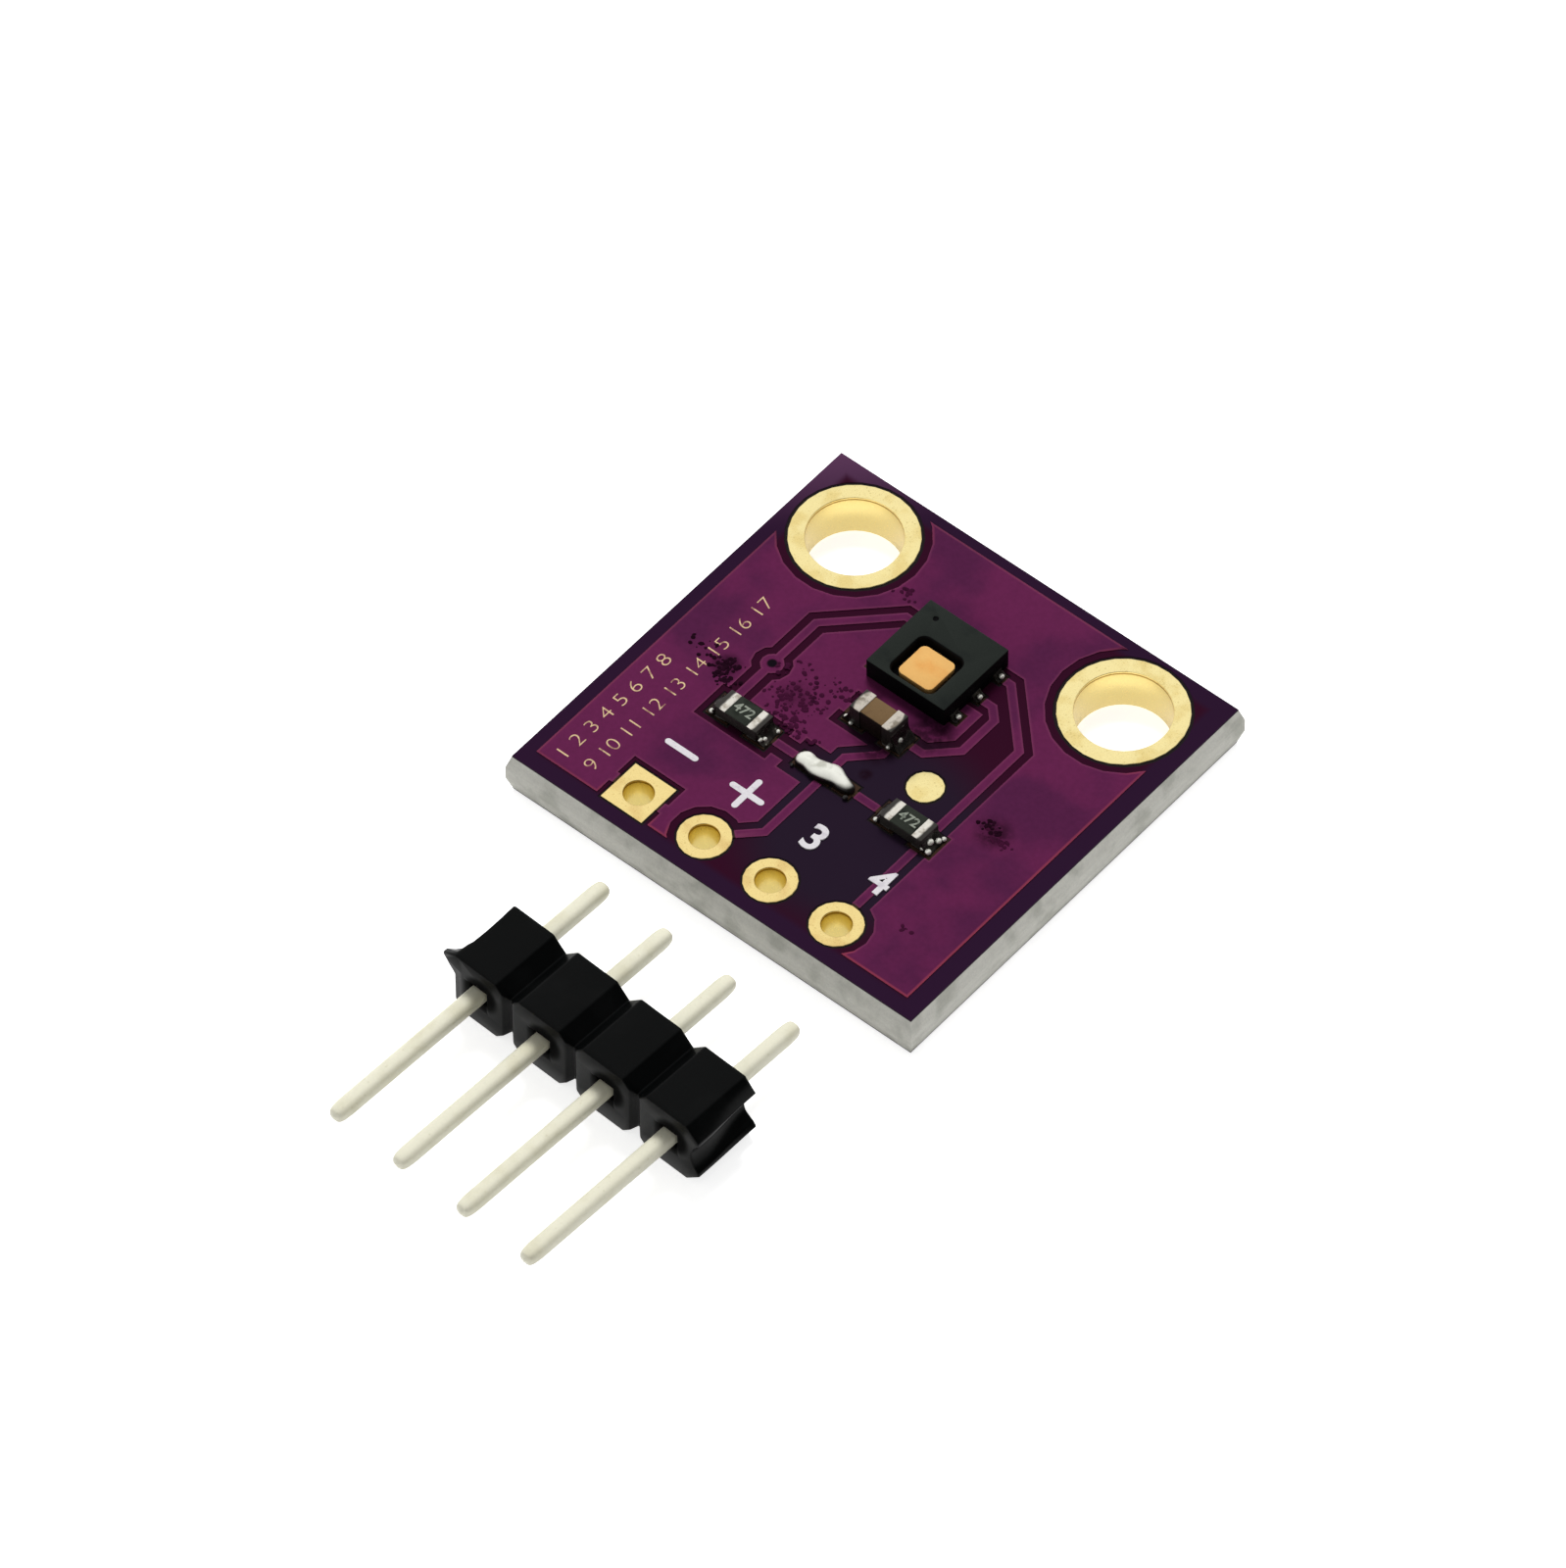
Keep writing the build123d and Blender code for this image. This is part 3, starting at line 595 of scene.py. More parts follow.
class Finishes:
    """Every finish of the module, made once."""

    def __init__(self) -> None:
        """Build the shared groups and the materials."""
        Groups.build()
        self.board()
        self.solder_and_tin()
        self.small_parts()
        self.header_parts()
        self.marks()

    def board(self) -> None:
        """Make the lacquer, the laminate, the copper and the gold."""
        lacquer = dict(tone=srgb(97, 34, 74), patch_tone=srgb(80, 30, 66), patches=(380.0, 0.44),
                       grain=(7000.0, 0.14), roughness=(0.42, 0.1), specular=0.03, bump=(0.12, 0.000002))
        # Dark spots in the top lacquer: the first three are painted shadow beside the package and the
        # capacitor, the rest are stains
        stains_and_shadows = tuple(((x, y, 0.0016), edge, weight) for x, y, edge, weight in (
            (0.0013, 0.0010, 0.0011, 0.8), (0.0004, -0.0005, 0.0008, 0.75),
            (-0.0008, 0.0008, 0.0006, 0.7), (0.0051, -0.0007, 0.0008, 0.75),
            (-0.0050, -0.0009, 0.0006, 0.8), (-0.0027, -0.0005, 0.0007, 0.45),
            (0.0008, -0.0014, 0.0003, 0.9)))
        self.top_lacquer = LacquerFinish("lacquer_top", stains_and_shadows=stains_and_shadows, **lacquer).build()
        self.bottom_lacquer = LacquerFinish("lacquer_underside", level=0.00002, copper_above=False,
                                            via_centre=(-0.00402, 0.00002, 0.0), **lacquer).build()
        self.laminate = LaminateFinish(
            "laminate_edge", srgb(232, 231, 222), srgb(206, 206, 196), patches=(900.0, 0.46),
            grain=(16000.0, 0.12), roughness=(0.75, 0.2), specular=0.2, bump=(0.6, 0.000008)).build()
        # Bare copper round the pads is dark bronze: its own dull tone, and partly painted shade in the gaps
        # round the pads
        self.copper = Finish("copper_layer", srgb(60, 42, 30), srgb(38, 28, 24), patches=(2600.0, 0.5),
                             metallic=0.6, specular=0.2).build()
        # Gold takes the darker low tone on the walls of its holes: painted shade
        gold = dict(patches=(1400.0, 0.46), grain=(22000.0, 0.12), roughness=(0.3, 0.16), metallic=1.0,
                    level=0.00154, blend=0.00002, speck_radius=0.42)
        self.gold = PlatedFinish("gold_flash", srgb(249, 232, 166), srgb(238, 216, 144),
                                 low_shade_tone=srgb(227, 207, 138), speck_tone=srgb(206, 184, 116), **gold).build()
        self.hole_gold = PlatedFinish("hole_gold", srgb(246, 222, 150), srgb(234, 204, 134),
                                      low_shade_tone=srgb(228, 210, 136), speck_tone=srgb(206, 176, 104),
                                      **gold).build()

    def solder_and_tin(self) -> None:
        """Make the tin of the caps and leads, and the solder."""
        # The low tone of tin is painted shade on the sides of the caps and on the leads
        tin = dict(tone=srgb(226, 222, 212), patch_tone=srgb(176, 168, 154), patches=(3600.0, 0.5),
                   grain=(18000.0, 0.2), roughness=(0.42, 0.2), metallic=0.4, bump=(0.5, 0.000008),
                   speck_tone=srgb(110, 100, 88), speck_scale=7000.0, speck_share=0.3,
                   low_shade_tone=srgb(46, 43, 39), blend=0.00002)
        duller_tin = {**tin, "tone": srgb(202, 194, 182), "patch_tone": srgb(138, 128, 114)}
        caps = []
        for node in ("capacitor_terminals", "resistor_left_terminals", "resistor_right_terminals"):
            low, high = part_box(node)
            caps.append(((low.x + high.x) / 2, (low.y + high.y) / 2, high.z))
        across = tuple((x, y + shift, z) for x, y, z in caps[1:] for shift in (-0.00022, 0.0, 0.00022))
        self.cap_tin = EndCapFinish("capacitor_tin", level=0.00239, reach=0.00076, centres=(caps[0],),
                                    **duller_tin).build()
        self.chip_tin = EndCapFinish("chip_tin", level=0.00204, reach=0.00064, centres=across, **tin).build()
        self.lead_tin = LevelFinish("lead_tin", level=0.0019, **tin).build()
        # Bright solder for the drips and for the painted glint dots
        self.solder = SpeckledFinish(
            "bright_solder", srgb(226, 226, 216), srgb(206, 206, 196), patches=(1600.0, 0.5),
            grain=(12000.0, 0.1), roughness=(0.3, 0.12), metallic=0.5, bump=(0.3, 0.000006),
            speck_tone=srgb(150, 148, 138), speck_scale=7000.0, speck_share=0.2).build()
        # Bridge dark below the level: painted shade and painted reflection on its lower sides
        self.bridge = LevelFinish(
            "bridge_solder", srgb(240, 240, 230), srgb(196, 196, 184), patches=(1900.0, 0.54),
            grain=(9000.0, 0.06), roughness=(0.3, 0.12), metallic=0.35, bump=(0.2, 0.000005), level=0.00184,
            blend=0.00005, low_shade_tone=srgb(30, 27, 25), speck_tone=srgb(160, 158, 148), speck_scale=6000.0,
            speck_share=0.04).build()
        # Joint solder painted dark for the dark it reflects, with bright specks: painted reflection and
        # painted glints
        self.foot = SpeckledFinish(
            "solder_painted_dark", srgb(44, 41, 38), srgb(78, 74, 68), patches=(3200.0, 0.52), grain=(12000.0, 0.3),
            roughness=(0.26, 0.14), metallic=0.7, bump=(0.4, 0.000006), speck_tone=srgb(200, 198, 186),
            speck_scale=6500.0, speck_share=0.22, speck_weight=0.8).build()

    def small_parts(self) -> None:
        """Make the finishes of the sensor, the capacitor and the resistors."""
        # Package dark below its top: painted shade in the window and on the sides, whose sawn faces are also
        # darker of their own
        self.moulding = LevelFinish(
            "moulding_compound", srgb(38, 42, 39), srgb(33, 37, 35), patches=(1500.0, 0.5),
            grain=(26000.0, 0.22), roughness=(0.62, 0.2), specular=0.05, bump=(0.5, 0.000005),
            level=0.002365, low_shade_tone=srgb(7, 7, 8), speck_tone=srgb(26, 30, 30), speck_scale=14000.0,
            speck_share=0.3, speck_weight=0.5).build()
        self.film = SpeckledFinish(
            "sensing_film", srgb(236, 184, 108), srgb(232, 168, 90), patches=(900.0, 0.45),
            grain=(20000.0, 0.06), roughness=(0.45, 0.1), specular=0.3, bump=(0.1, 0.000004),
            speck_tone=srgb(232, 164, 84), speck_scale=7000.0, speck_share=0.2, speck_weight=0.35).build()
        # Capacitor dark below its top: painted shade on its sides
        self.ceramic = LevelFinish(
            "capacitor_ceramic", srgb(124, 99, 68), srgb(104, 80, 56), patches=(2600.0, 0.5),
            grain=(16000.0, 0.14), roughness=(0.5, 0.15), specular=0.15, bump=(0.4, 0.000006), level=0.00239,
            blend=0.00002, low_shade_tone=srgb(26, 19, 15), speck_tone=srgb(84, 64, 46)).build()
        # Resistor substrate painted near black: painted shade on its sides
        self.alumina = SpeckledFinish(
            "alumina_painted_shade", srgb(52, 50, 47), srgb(38, 36, 34), patches=(2000.0, 0.5),
            grain=(18000.0, 0.2), specular=0.2, speck_tone=srgb(90, 87, 80)).build()
        self.glaze = Finish("black_glaze", srgb(44, 48, 42), srgb(30, 34, 29), patches=(2600.0, 0.5),
                            grain=(18000.0, 0.2), roughness=(0.3, 0.12), specular=0.06).build()
        self.digit_ink = SpeckledFinish(
            "digit_ink", srgb(146, 152, 140), srgb(106, 112, 102), patches=(5000.0, 0.48),
            grain=(16000.0, 0.1), roughness=(0.6, 0.1), specular=0.1, speck_tone=srgb(70, 74, 72)).build()

    def header_parts(self) -> None:
        """Make the finishes of the loose header."""
        turn = Matrix.Rotation(math.radians(HEADER_TURN), 3, "Z")
        # Mouths of the pins, where shade is painted
        mouths = [Vector(((index - 1.5) * PITCH + 0.22, -1.27, 0.25)) for index in range(4)]
        shade_funnels = tuple(tuple((Vector(HEADER_PLACE) + turn @ mouth) * MM) for mouth in mouths)
        self.header = HeaderFinish("header_plastic", srgb(5, 6, 6), srgb(9, 10, 10), patches=(700.0, 0.5),
                                   grain=(14000.0, 0.2), roughness=(0.3, 0.1), specular=0.055,
                                   shade_funnels=shade_funnels).build()
        self.pin = SpeckledFinish(
            "pin_plating", srgb(240, 237, 215), srgb(230, 226, 200), patches=(900.0, 0.48),
            grain=(14000.0, 0.06), roughness=(0.42, 0.1), metallic=0.1, bump=(0.35, 0.000006),
            speck_tone=srgb(206, 199, 166), speck_scale=5000.0, speck_share=0.2, speck_weight=0.4).build()

    def marks(self) -> None:
        """Make the inks, the bare gold of the marks and the dried flux."""
        self.ink = SpeckledFinish(
            "white_ink", srgb(226, 222, 226), srgb(206, 200, 208), patches=(2400.0, 0.5),
            grain=(16000.0, 0.1), roughness=(0.6, 0.1), specular=0.2, bump=(0.4, 0.000006),
            speck_tone=srgb(170, 150, 172), speck_scale=11000.0, speck_share=0.25).build()
        self.mark_gold = SpeckledFinish(
            "mark_gold", srgb(222, 192, 148), srgb(150, 104, 92), patches=(3600.0, 0.46),
            grain=(16000.0, 0.2), roughness=(0.45, 0.1), metallic=0.3, speck_tone=srgb(130, 80, 84)).build()
        self.soft_residue = Finish("soft_residue", srgb(62, 18, 46), srgb(50, 14, 38), patches=(3000.0, 0.5),
                                   grain=(16000.0, 0.1), roughness=(0.6, 0.1), specular=0.02).build()
        self.residue = Finish("dark_residue", srgb(28, 6, 20), srgb(40, 11, 30), patches=(3000.0, 0.5),
                              grain=(16000.0, 0.2), roughness=(0.6, 0.2), specular=0.02).build()


def plain_mesh(work: Mesh, name: str) -> bpy.types.Mesh:
    """Write a working mesh into mesh data and free it.

    Args:
        work: The working mesh, which is freed.
        name: Name of the data.

    Returns:
        The mesh data.
    """
    mesh = bpy.data.meshes.new(name)
    work.to_mesh(mesh)
    work.free()
    return mesh


def linked(name: str, data: Any) -> bpy.types.Object:
    """Make an object and put it in the scene.

    Args:
        name: The object's name.
        data: Its mesh, text, lamp or camera.

    Returns:
        The object.
    """
    made = bpy.data.objects.new(name, data)
    bpy.context.scene.collection.objects.link(made)
    return made


def scratch(work: Mesh) -> bpy.types.Object:
    """Put a mesh, which is freed, into a scratch object for modifiers to work on."""
    return linked("scratch", plain_mesh(work, "scratch"))


def evaluated_bmesh(source: bpy.types.Object) -> Mesh:
    """Take the mesh that an object's modifiers give, and remove the object.

    Args:
        source: A scratch object.

    Returns:
        Its evaluated mesh.
    """
    graph = bpy.context.evaluated_depsgraph_get()
    mesh = bpy.data.meshes.new_from_object(source.evaluated_get(graph))
    work = bmesh.new()
    work.from_mesh(mesh)
    bpy.data.objects.remove(source)
    bpy.data.meshes.remove(mesh)
    return work


def node_bmesh(name: str) -> Mesh:
    """Copy a CAD node's mesh into millimetres, with its loose triangles joined into flat faces.

    Args:
        name: The CAD node.

    Returns:
        The joined mesh.
    """
    work = bmesh.new()
    work.from_mesh(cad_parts[name].data)
    work.transform(Matrix.Scale(1 / MM, 4))
    bmesh.ops.remove_doubles(work, verts=work.verts[:], dist=SOLID_MERGE)
    bmesh.ops.dissolve_limit(work, angle_limit=math.radians(FLAT_ANGLE), verts=work.verts[:],
                             edges=work.edges[:])
    return work


def softened(name: str, width: float, segments: int = 2) -> Mesh:
    """Copy a CAD node with its edges rounded off.

    Args:
        name: The CAD node.
        width: Width of the rounding in millimetres.
        segments: Faces across the rounding.

    Returns:
        The rounded mesh in millimetres.
    """
    source = scratch(node_bmesh(name))
    bevel = source.modifiers.new("soft_edges", "BEVEL")
    bevel.width = width
    bevel.segments = segments
    bevel.limit_method = "ANGLE"
    bevel.angle_limit = math.radians(ROUNDED_ANGLE)
    bevel.use_clamp_overlap = True
    return evaluated_bmesh(source)


def joined(parts: Iterable[Mesh]) -> Mesh:
    """Put several meshes into one.

    Args:
        parts: The meshes, which are freed.

    Returns:
        One mesh that holds them all.
    """
    whole = bmesh.new()
    for part in parts:
        mesh = plain_mesh(part, "part")
        whole.from_mesh(mesh)
        bpy.data.meshes.remove(mesh)
    return whole


def skin(work: Mesh, rings: Sequence[Sequence[bmesh.types.BMVert]]) -> None:
    """Join each ring of points to the next with four-sided faces.

    Args:
        work: The mesh that holds the rings.
        rings: The rings in order, with the same number of points each.
    """
    for first, second in zip(rings, rings[1:]):
        for side in range(len(first)):
            nearby = (side + 1) % len(first)
            work.faces.new((first[side], first[nearby], second[nearby], second[side]))


def number_mesh(text: str, height: float, centre: Point, depth: float, weight: float, turn: float = 0.0,
                length: float = 0.0) -> Mesh:
    """Make plain raised numbers.

    Args:
        text: The digits.
        height: Their height in millimetres.
        centre: Centre of their base.
        depth: How far they stand up.
        weight: How much each stroke is thickened.
        turn: Degrees about the upright axis.
        length: Length that the row is stretched to, or 0 to leave it.

    Returns:
        The numbers as one closed mesh.
    """
    curve = bpy.data.curves.new("number", "FONT")
    curve.body = text
    curve.align_x = "CENTER"
    curve.align_y = "CENTER"
    curve.size = height / DIGIT_SHARE
    curve.offset = weight
    curve.extrude = depth / 2
    work = evaluated_bmesh(linked("number", curve))
    bmesh.ops.remove_doubles(work, verts=work.verts[:], dist=DIGIT_MERGE)
    if length:
        reach = [vert.co.x for vert in work.verts]
        work.transform(Matrix.Diagonal((length / (max(reach) - min(reach)), 1.0, 1.0, 1.0)))
    place = Matrix.Translation((centre[0], centre[1], centre[2] + depth / 2))
    work.transform(place @ Matrix.Rotation(math.radians(turn), 4, "Z"))
    return work


def piece(work: Mesh, name: str, material: Material, replaces: Sequence[str] = (),
          angle: float = 35.0) -> None:
    """Turn a mesh in millimetres into a finished piece that rides on the module.

    Args:
        work: The mesh, which is freed.
        name: The piece's name.
        material: Its finish.
        replaces: CAD nodes that it stands for.
        angle: Degrees from which an edge stays sharp.
    """
    work.transform(Matrix.Scale(MM, 4))
    mesh = plain_mesh(work, name)
    mesh.materials.clear()
    mesh.materials.append(material)
    mesh.shade_smooth()
    mesh.set_sharp_from_angle(angle=math.radians(angle))
    made = linked(name, mesh)
    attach(made, BODY)
    if replaces:
        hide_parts(*replaces)
    LOG.info("%s: %d faces", name, len(mesh.polygons))


def dress(name: str, material: Material) -> None:
    """Give a CAD node a finish through its material slots.

    Args:
        name: The CAD node.
        material: The finish.
    """
    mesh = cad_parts[name].data
    mesh.materials.clear()
    mesh.materials.append(material)
    LOG.info("%s dressed", name)


@dataclass
class PhotoCamera:
    """The camera at the photograph's viewing angle, in metres and degrees."""

    place: Point = (0.17945, -0.21532, 0.3543)
    azimuth: float = 40.37
    elevation: float = 51.72
    roll: float = -0.305
    lens: float = 349.58
    sensor: float = 36.0

    def build(self) -> None:
        """Make the camera and set it as the scene's."""
        azimuth, elevation, roll = (math.radians(a) for a in (self.azimuth, self.elevation, self.roll))
        ahead = Vector((-math.sin(azimuth) * math.cos(elevation), math.cos(azimuth) * math.cos(elevation),
                        -math.sin(elevation)))
        level = Vector((math.cos(azimuth), math.sin(azimuth), 0.0))
        right = math.cos(roll) * level + math.sin(roll) * level.cross(ahead)
        data = bpy.data.cameras.new("camera")
        data.lens = self.lens
        data.sensor_width = self.sensor
        data.clip_start = 0.01
        data.clip_end = 20.0
        camera = linked("camera", data)
        axes = Matrix((right, right.cross(ahead), -ahead)).transposed()
        camera.matrix_world = Matrix.Translation(self.place) @ axes.to_4x4()
        bpy.context.scene.camera = camera
        LOG.info("camera at %s", self.place)


@dataclass
class Studio:
    """Plain pale floor, white background and one soft lamp."""

    floor_half: float = 1.6
    floor_place: Point = (0.0, 0.0, -0.00001)
    floor_tone: Colour = (0.82, 0.82, 0.82, 1.0)
    floor_lift: float = 0.74
    dome: float = 0.36
    card_side: Point = (0.95, -0.12, 0.1)
    lamp_place: Point = (-0.22, 0.27, 0.66)
    lamp_size: float = 0.22
    lamp_power: float = 4.0

    def world(self) -> None:
        """Make a world that is white to the camera, pale on one side in reflections, and even light else."""
        world = bpy.data.worlds.new("pale_room")
        bpy.context.scene.world = world
        tree = cleared(world)
        path = tree.node("ShaderNodeLightPath").outputs
        seen = tree.maths("MAXIMUM", path["Is Camera Ray"], path["Is Transmission Ray"])
        facing = tree.node("ShaderNodeTexCoord").outputs["Generated"]
        card = tree.span(tree.vector("DOT_PRODUCT", facing, self.card_side)["Value"], 0.1, 0.7, 1.0, 0.08)
        shown = tree.maths("MAXIMUM", seen, tree.maths("MULTIPLY", path["Is Glossy Ray"], card))
        plain = tree.maths("SUBTRACT", 1.0, tree.maths("MAXIMUM", seen, path["Is Glossy Ray"]))
        strength = tree.maths("ADD", shown, tree.maths("MULTIPLY", plain, self.dome))
        back = tree.node("ShaderNodeBackground", {"Color": WHITE, "Strength": strength})
        tree.node("ShaderNodeOutputWorld", {"Surface": back.outputs[0]})

    def floor(self) -> None:
        """Make the pale floor, which keeps the shadow."""
        material = bpy.data.materials.new("pale_floor")
        tree = cleared(material)
        path = tree.node("ShaderNodeLightPath").outputs
        seen = tree.maths("MAXIMUM", path["Is Camera Ray"], path["Is Glossy Ray"])
        seen = tree.maths("MAXIMUM", seen, path["Is Transmission Ray"])
        shader = tree.node("ShaderNodeBsdfPrincipled", {
            "Base Color": self.floor_tone, "Roughness": 0.9, "Specular IOR Level": 0.0,
            "Emission Color": WHITE, "Emission Strength": tree.maths("MULTIPLY", seen, self.floor_lift)})
        tree.node("ShaderNodeOutputMaterial", {"Surface": shader.outputs["BSDF"]})
        work = bmesh.new()
        bmesh.ops.create_grid(work, x_segments=8, y_segments=8, size=self.floor_half)
        made = linked("floor", plain_mesh(work, "floor"))
        made.data.materials.append(material)
        made.location = self.floor_place

    def lamp(self) -> None:
        """Hang one square soft lamp that faces the module."""
        data = bpy.data.lights.new("key_lamp", "AREA")
        data.shape = "SQUARE"
        data.size = self.lamp_size
        data.energy = self.lamp_power
        made = linked("key_lamp", data)
        made.visible_glossy = False
        made.location = self.lamp_place
        made.rotation_mode = "QUATERNION"
        made.rotation_quaternion = Vector(self.lamp_place).to_track_quat("Z", "Y")

    def build(self) -> None:
        """Set the whole studio up."""
        self.world()
        self.floor()
        self.lamp()
        LOG.info("studio ready")


@dataclass
class Board:
    """Laminate, copper, lacquer and plating of the board, in millimetres."""

    finishes: Finishes
    top_level: float = 1.62
    same_level: float = 0.002
    facing_least: float = 0.9
    rim_width: float = 0.08
    rim_drop: float = 0.012
    plating_round: float = 0.03

    def lacquer(self, node: str, level: float, facing: float, material: Material) -> None:
        """Round the raised edges of one lacquer layer and mark them for its rim line.

        Args:
            node: The CAD node that the layer stands for.
            level: Height of its raised faces in millimetres.
            facing: 1 for the top side, -1 for the underside.
            material: The lacquer's finish.
        """
        work = node_bmesh(node)
        layer = work.verts.layers.float.new("rim")
        raised = [face for face in work.faces if face.normal.z * facing > self.facing_least
                  and abs(face.calc_center_median().z - level) < self.same_level]
        bmesh.ops.inset_region(work, faces=raised, thickness=self.rim_width, use_boundary=True,
                               use_even_offset=True)
        for edge in work.edges:
            flat = [face for face in edge.link_faces if face.normal.z * facing > self.facing_least]
            at_level = all(abs(vert.co.z - level) < self.same_level for vert in edge.verts)
            if len(edge.link_faces) == 2 and len(flat) == 1 and at_level:
                for vert in edge.verts:
                    vert[layer] = 1.0
        for vert in work.verts:
            if vert[layer] > 0.5:
                vert.co.z -= facing * self.rim_drop
        piece(work, node + "_layer", material, (node,), 20.0)

    def build(self) -> None:
        """Dress the board and everything that is part of it."""
        finishes = self.finishes
        self.lacquer("top_solder_mask", self.top_level, 1.0, finishes.top_lacquer)
        self.lacquer("bottom_solder_mask", 0.0, -1.0, finishes.bottom_lacquer)
        dress("board_core", finishes.laminate)
        for name in ("top_copper", "bottom_copper", "via_plating"):
            dress(name, finishes.copper)
        round_gold = ("mounting_hole_plating_left", "mounting_hole_plating_right", "test_pad")
        rows = [(name, finishes.gold) for name in round_gold]
        rows += [(f"header_hole_plating_{index}", finishes.hole_gold) for index in range(1, 5)]
        for name, material in rows:
            piece(softened(name, self.plating_round), name + "_flash", material, (name,), 40.0)


def instances(tree: Tree, points: Socket, detail: Any, material: Material, **values: Any) -> Group:
    """End a Geometry Nodes tree: set a ball on every point, realize them all and give them their finish.

    Args:
        tree: The tree to end.
        points: The points.
        detail: Subdivisions of the ball.
        material: The finish.
        **values: Scale and turn of each ball.

    Returns:
        The finished tree.
    """
    ball = tree.node("GeometryNodeMeshIcoSphere", {"Radius": 1.0, "Subdivisions": detail})
    placed = tree.node("GeometryNodeInstanceOnPoints",
                       {"Points": points, "Instance": ball.outputs["Mesh"], **values})
    real = tree.node("GeometryNodeRealizeInstances", {0: placed.outputs[0]})
    dressed = tree.node("GeometryNodeSetMaterial", {"Geometry": real.outputs[0], "Material": material})
    return tree.put_out(Geometry=dressed.outputs[0])


def run_nodes(source: bpy.types.Object, group: Group, **values: Any) -> Mesh:
    """Evaluate a Geometry Nodes tree on a scratch object and take the plain mesh.

    Args:
        source: The scratch object, which is removed.
        group: The tree.
        **values: Its inputs by name.

    Returns:
        The resulting mesh.
    """
    modifier = source.modifiers.new("nodes", "NODES")
    modifier.node_group = group
    for label, value in values.items():
        modifier[group.interface.items_tree[label].identifier] = value
    return evaluated_bmesh(source)


def dots(places: Sequence[Dot], material: Material, flatness: float = 0.8, detail: int = 3) -> Mesh:
    """Make small round dots with a Geometry Nodes tree that sets one on every point.

    Args:
        places: X, Y, Z and radius of each dot in millimetres.
        material: Their finish.
        flatness: Height of a dot over its width.
        detail: Subdivisions of each dot.

    Returns:
        The dots as closed meshes.
    """
    tree, given = node_group("dots_on_points", {"Geometry": "Geometry", "Float": "Flatness", "Int": "Detail"},
                             {"Geometry": "Geometry"}, "GeometryNodeTree")
    size = tree.node("GeometryNodeInputNamedAttribute", {"Name": "size"}, data_type="FLOAT").outputs[0]
    low = tree.maths("MULTIPLY", size, given["Flatness"])
    scale = tree.node("ShaderNodeCombineXYZ", {0: size, 1: size, 2: low}).outputs[0]
    points = tree.node("GeometryNodeMeshToPoints", {"Mesh": given["Geometry"]}).outputs[0]
    group = instances(tree, points, given["Detail"], material, Scale=scale)
    work = bmesh.new()
    radii = work.verts.layers.float.new("size")
    for x, y, z, radius in places:
        work.verts.new((x, y, z))[radii] = radius
    return run_nodes(scratch(work), group, Flatness=flatness, Detail=detail)


def waves(share: float, *parts: Point) -> float:
    """Add up sine waves at a share of the length, each given as size, turns and start."""
    return sum(size * math.sin(turns * share + start) for size, turns, start in parts)


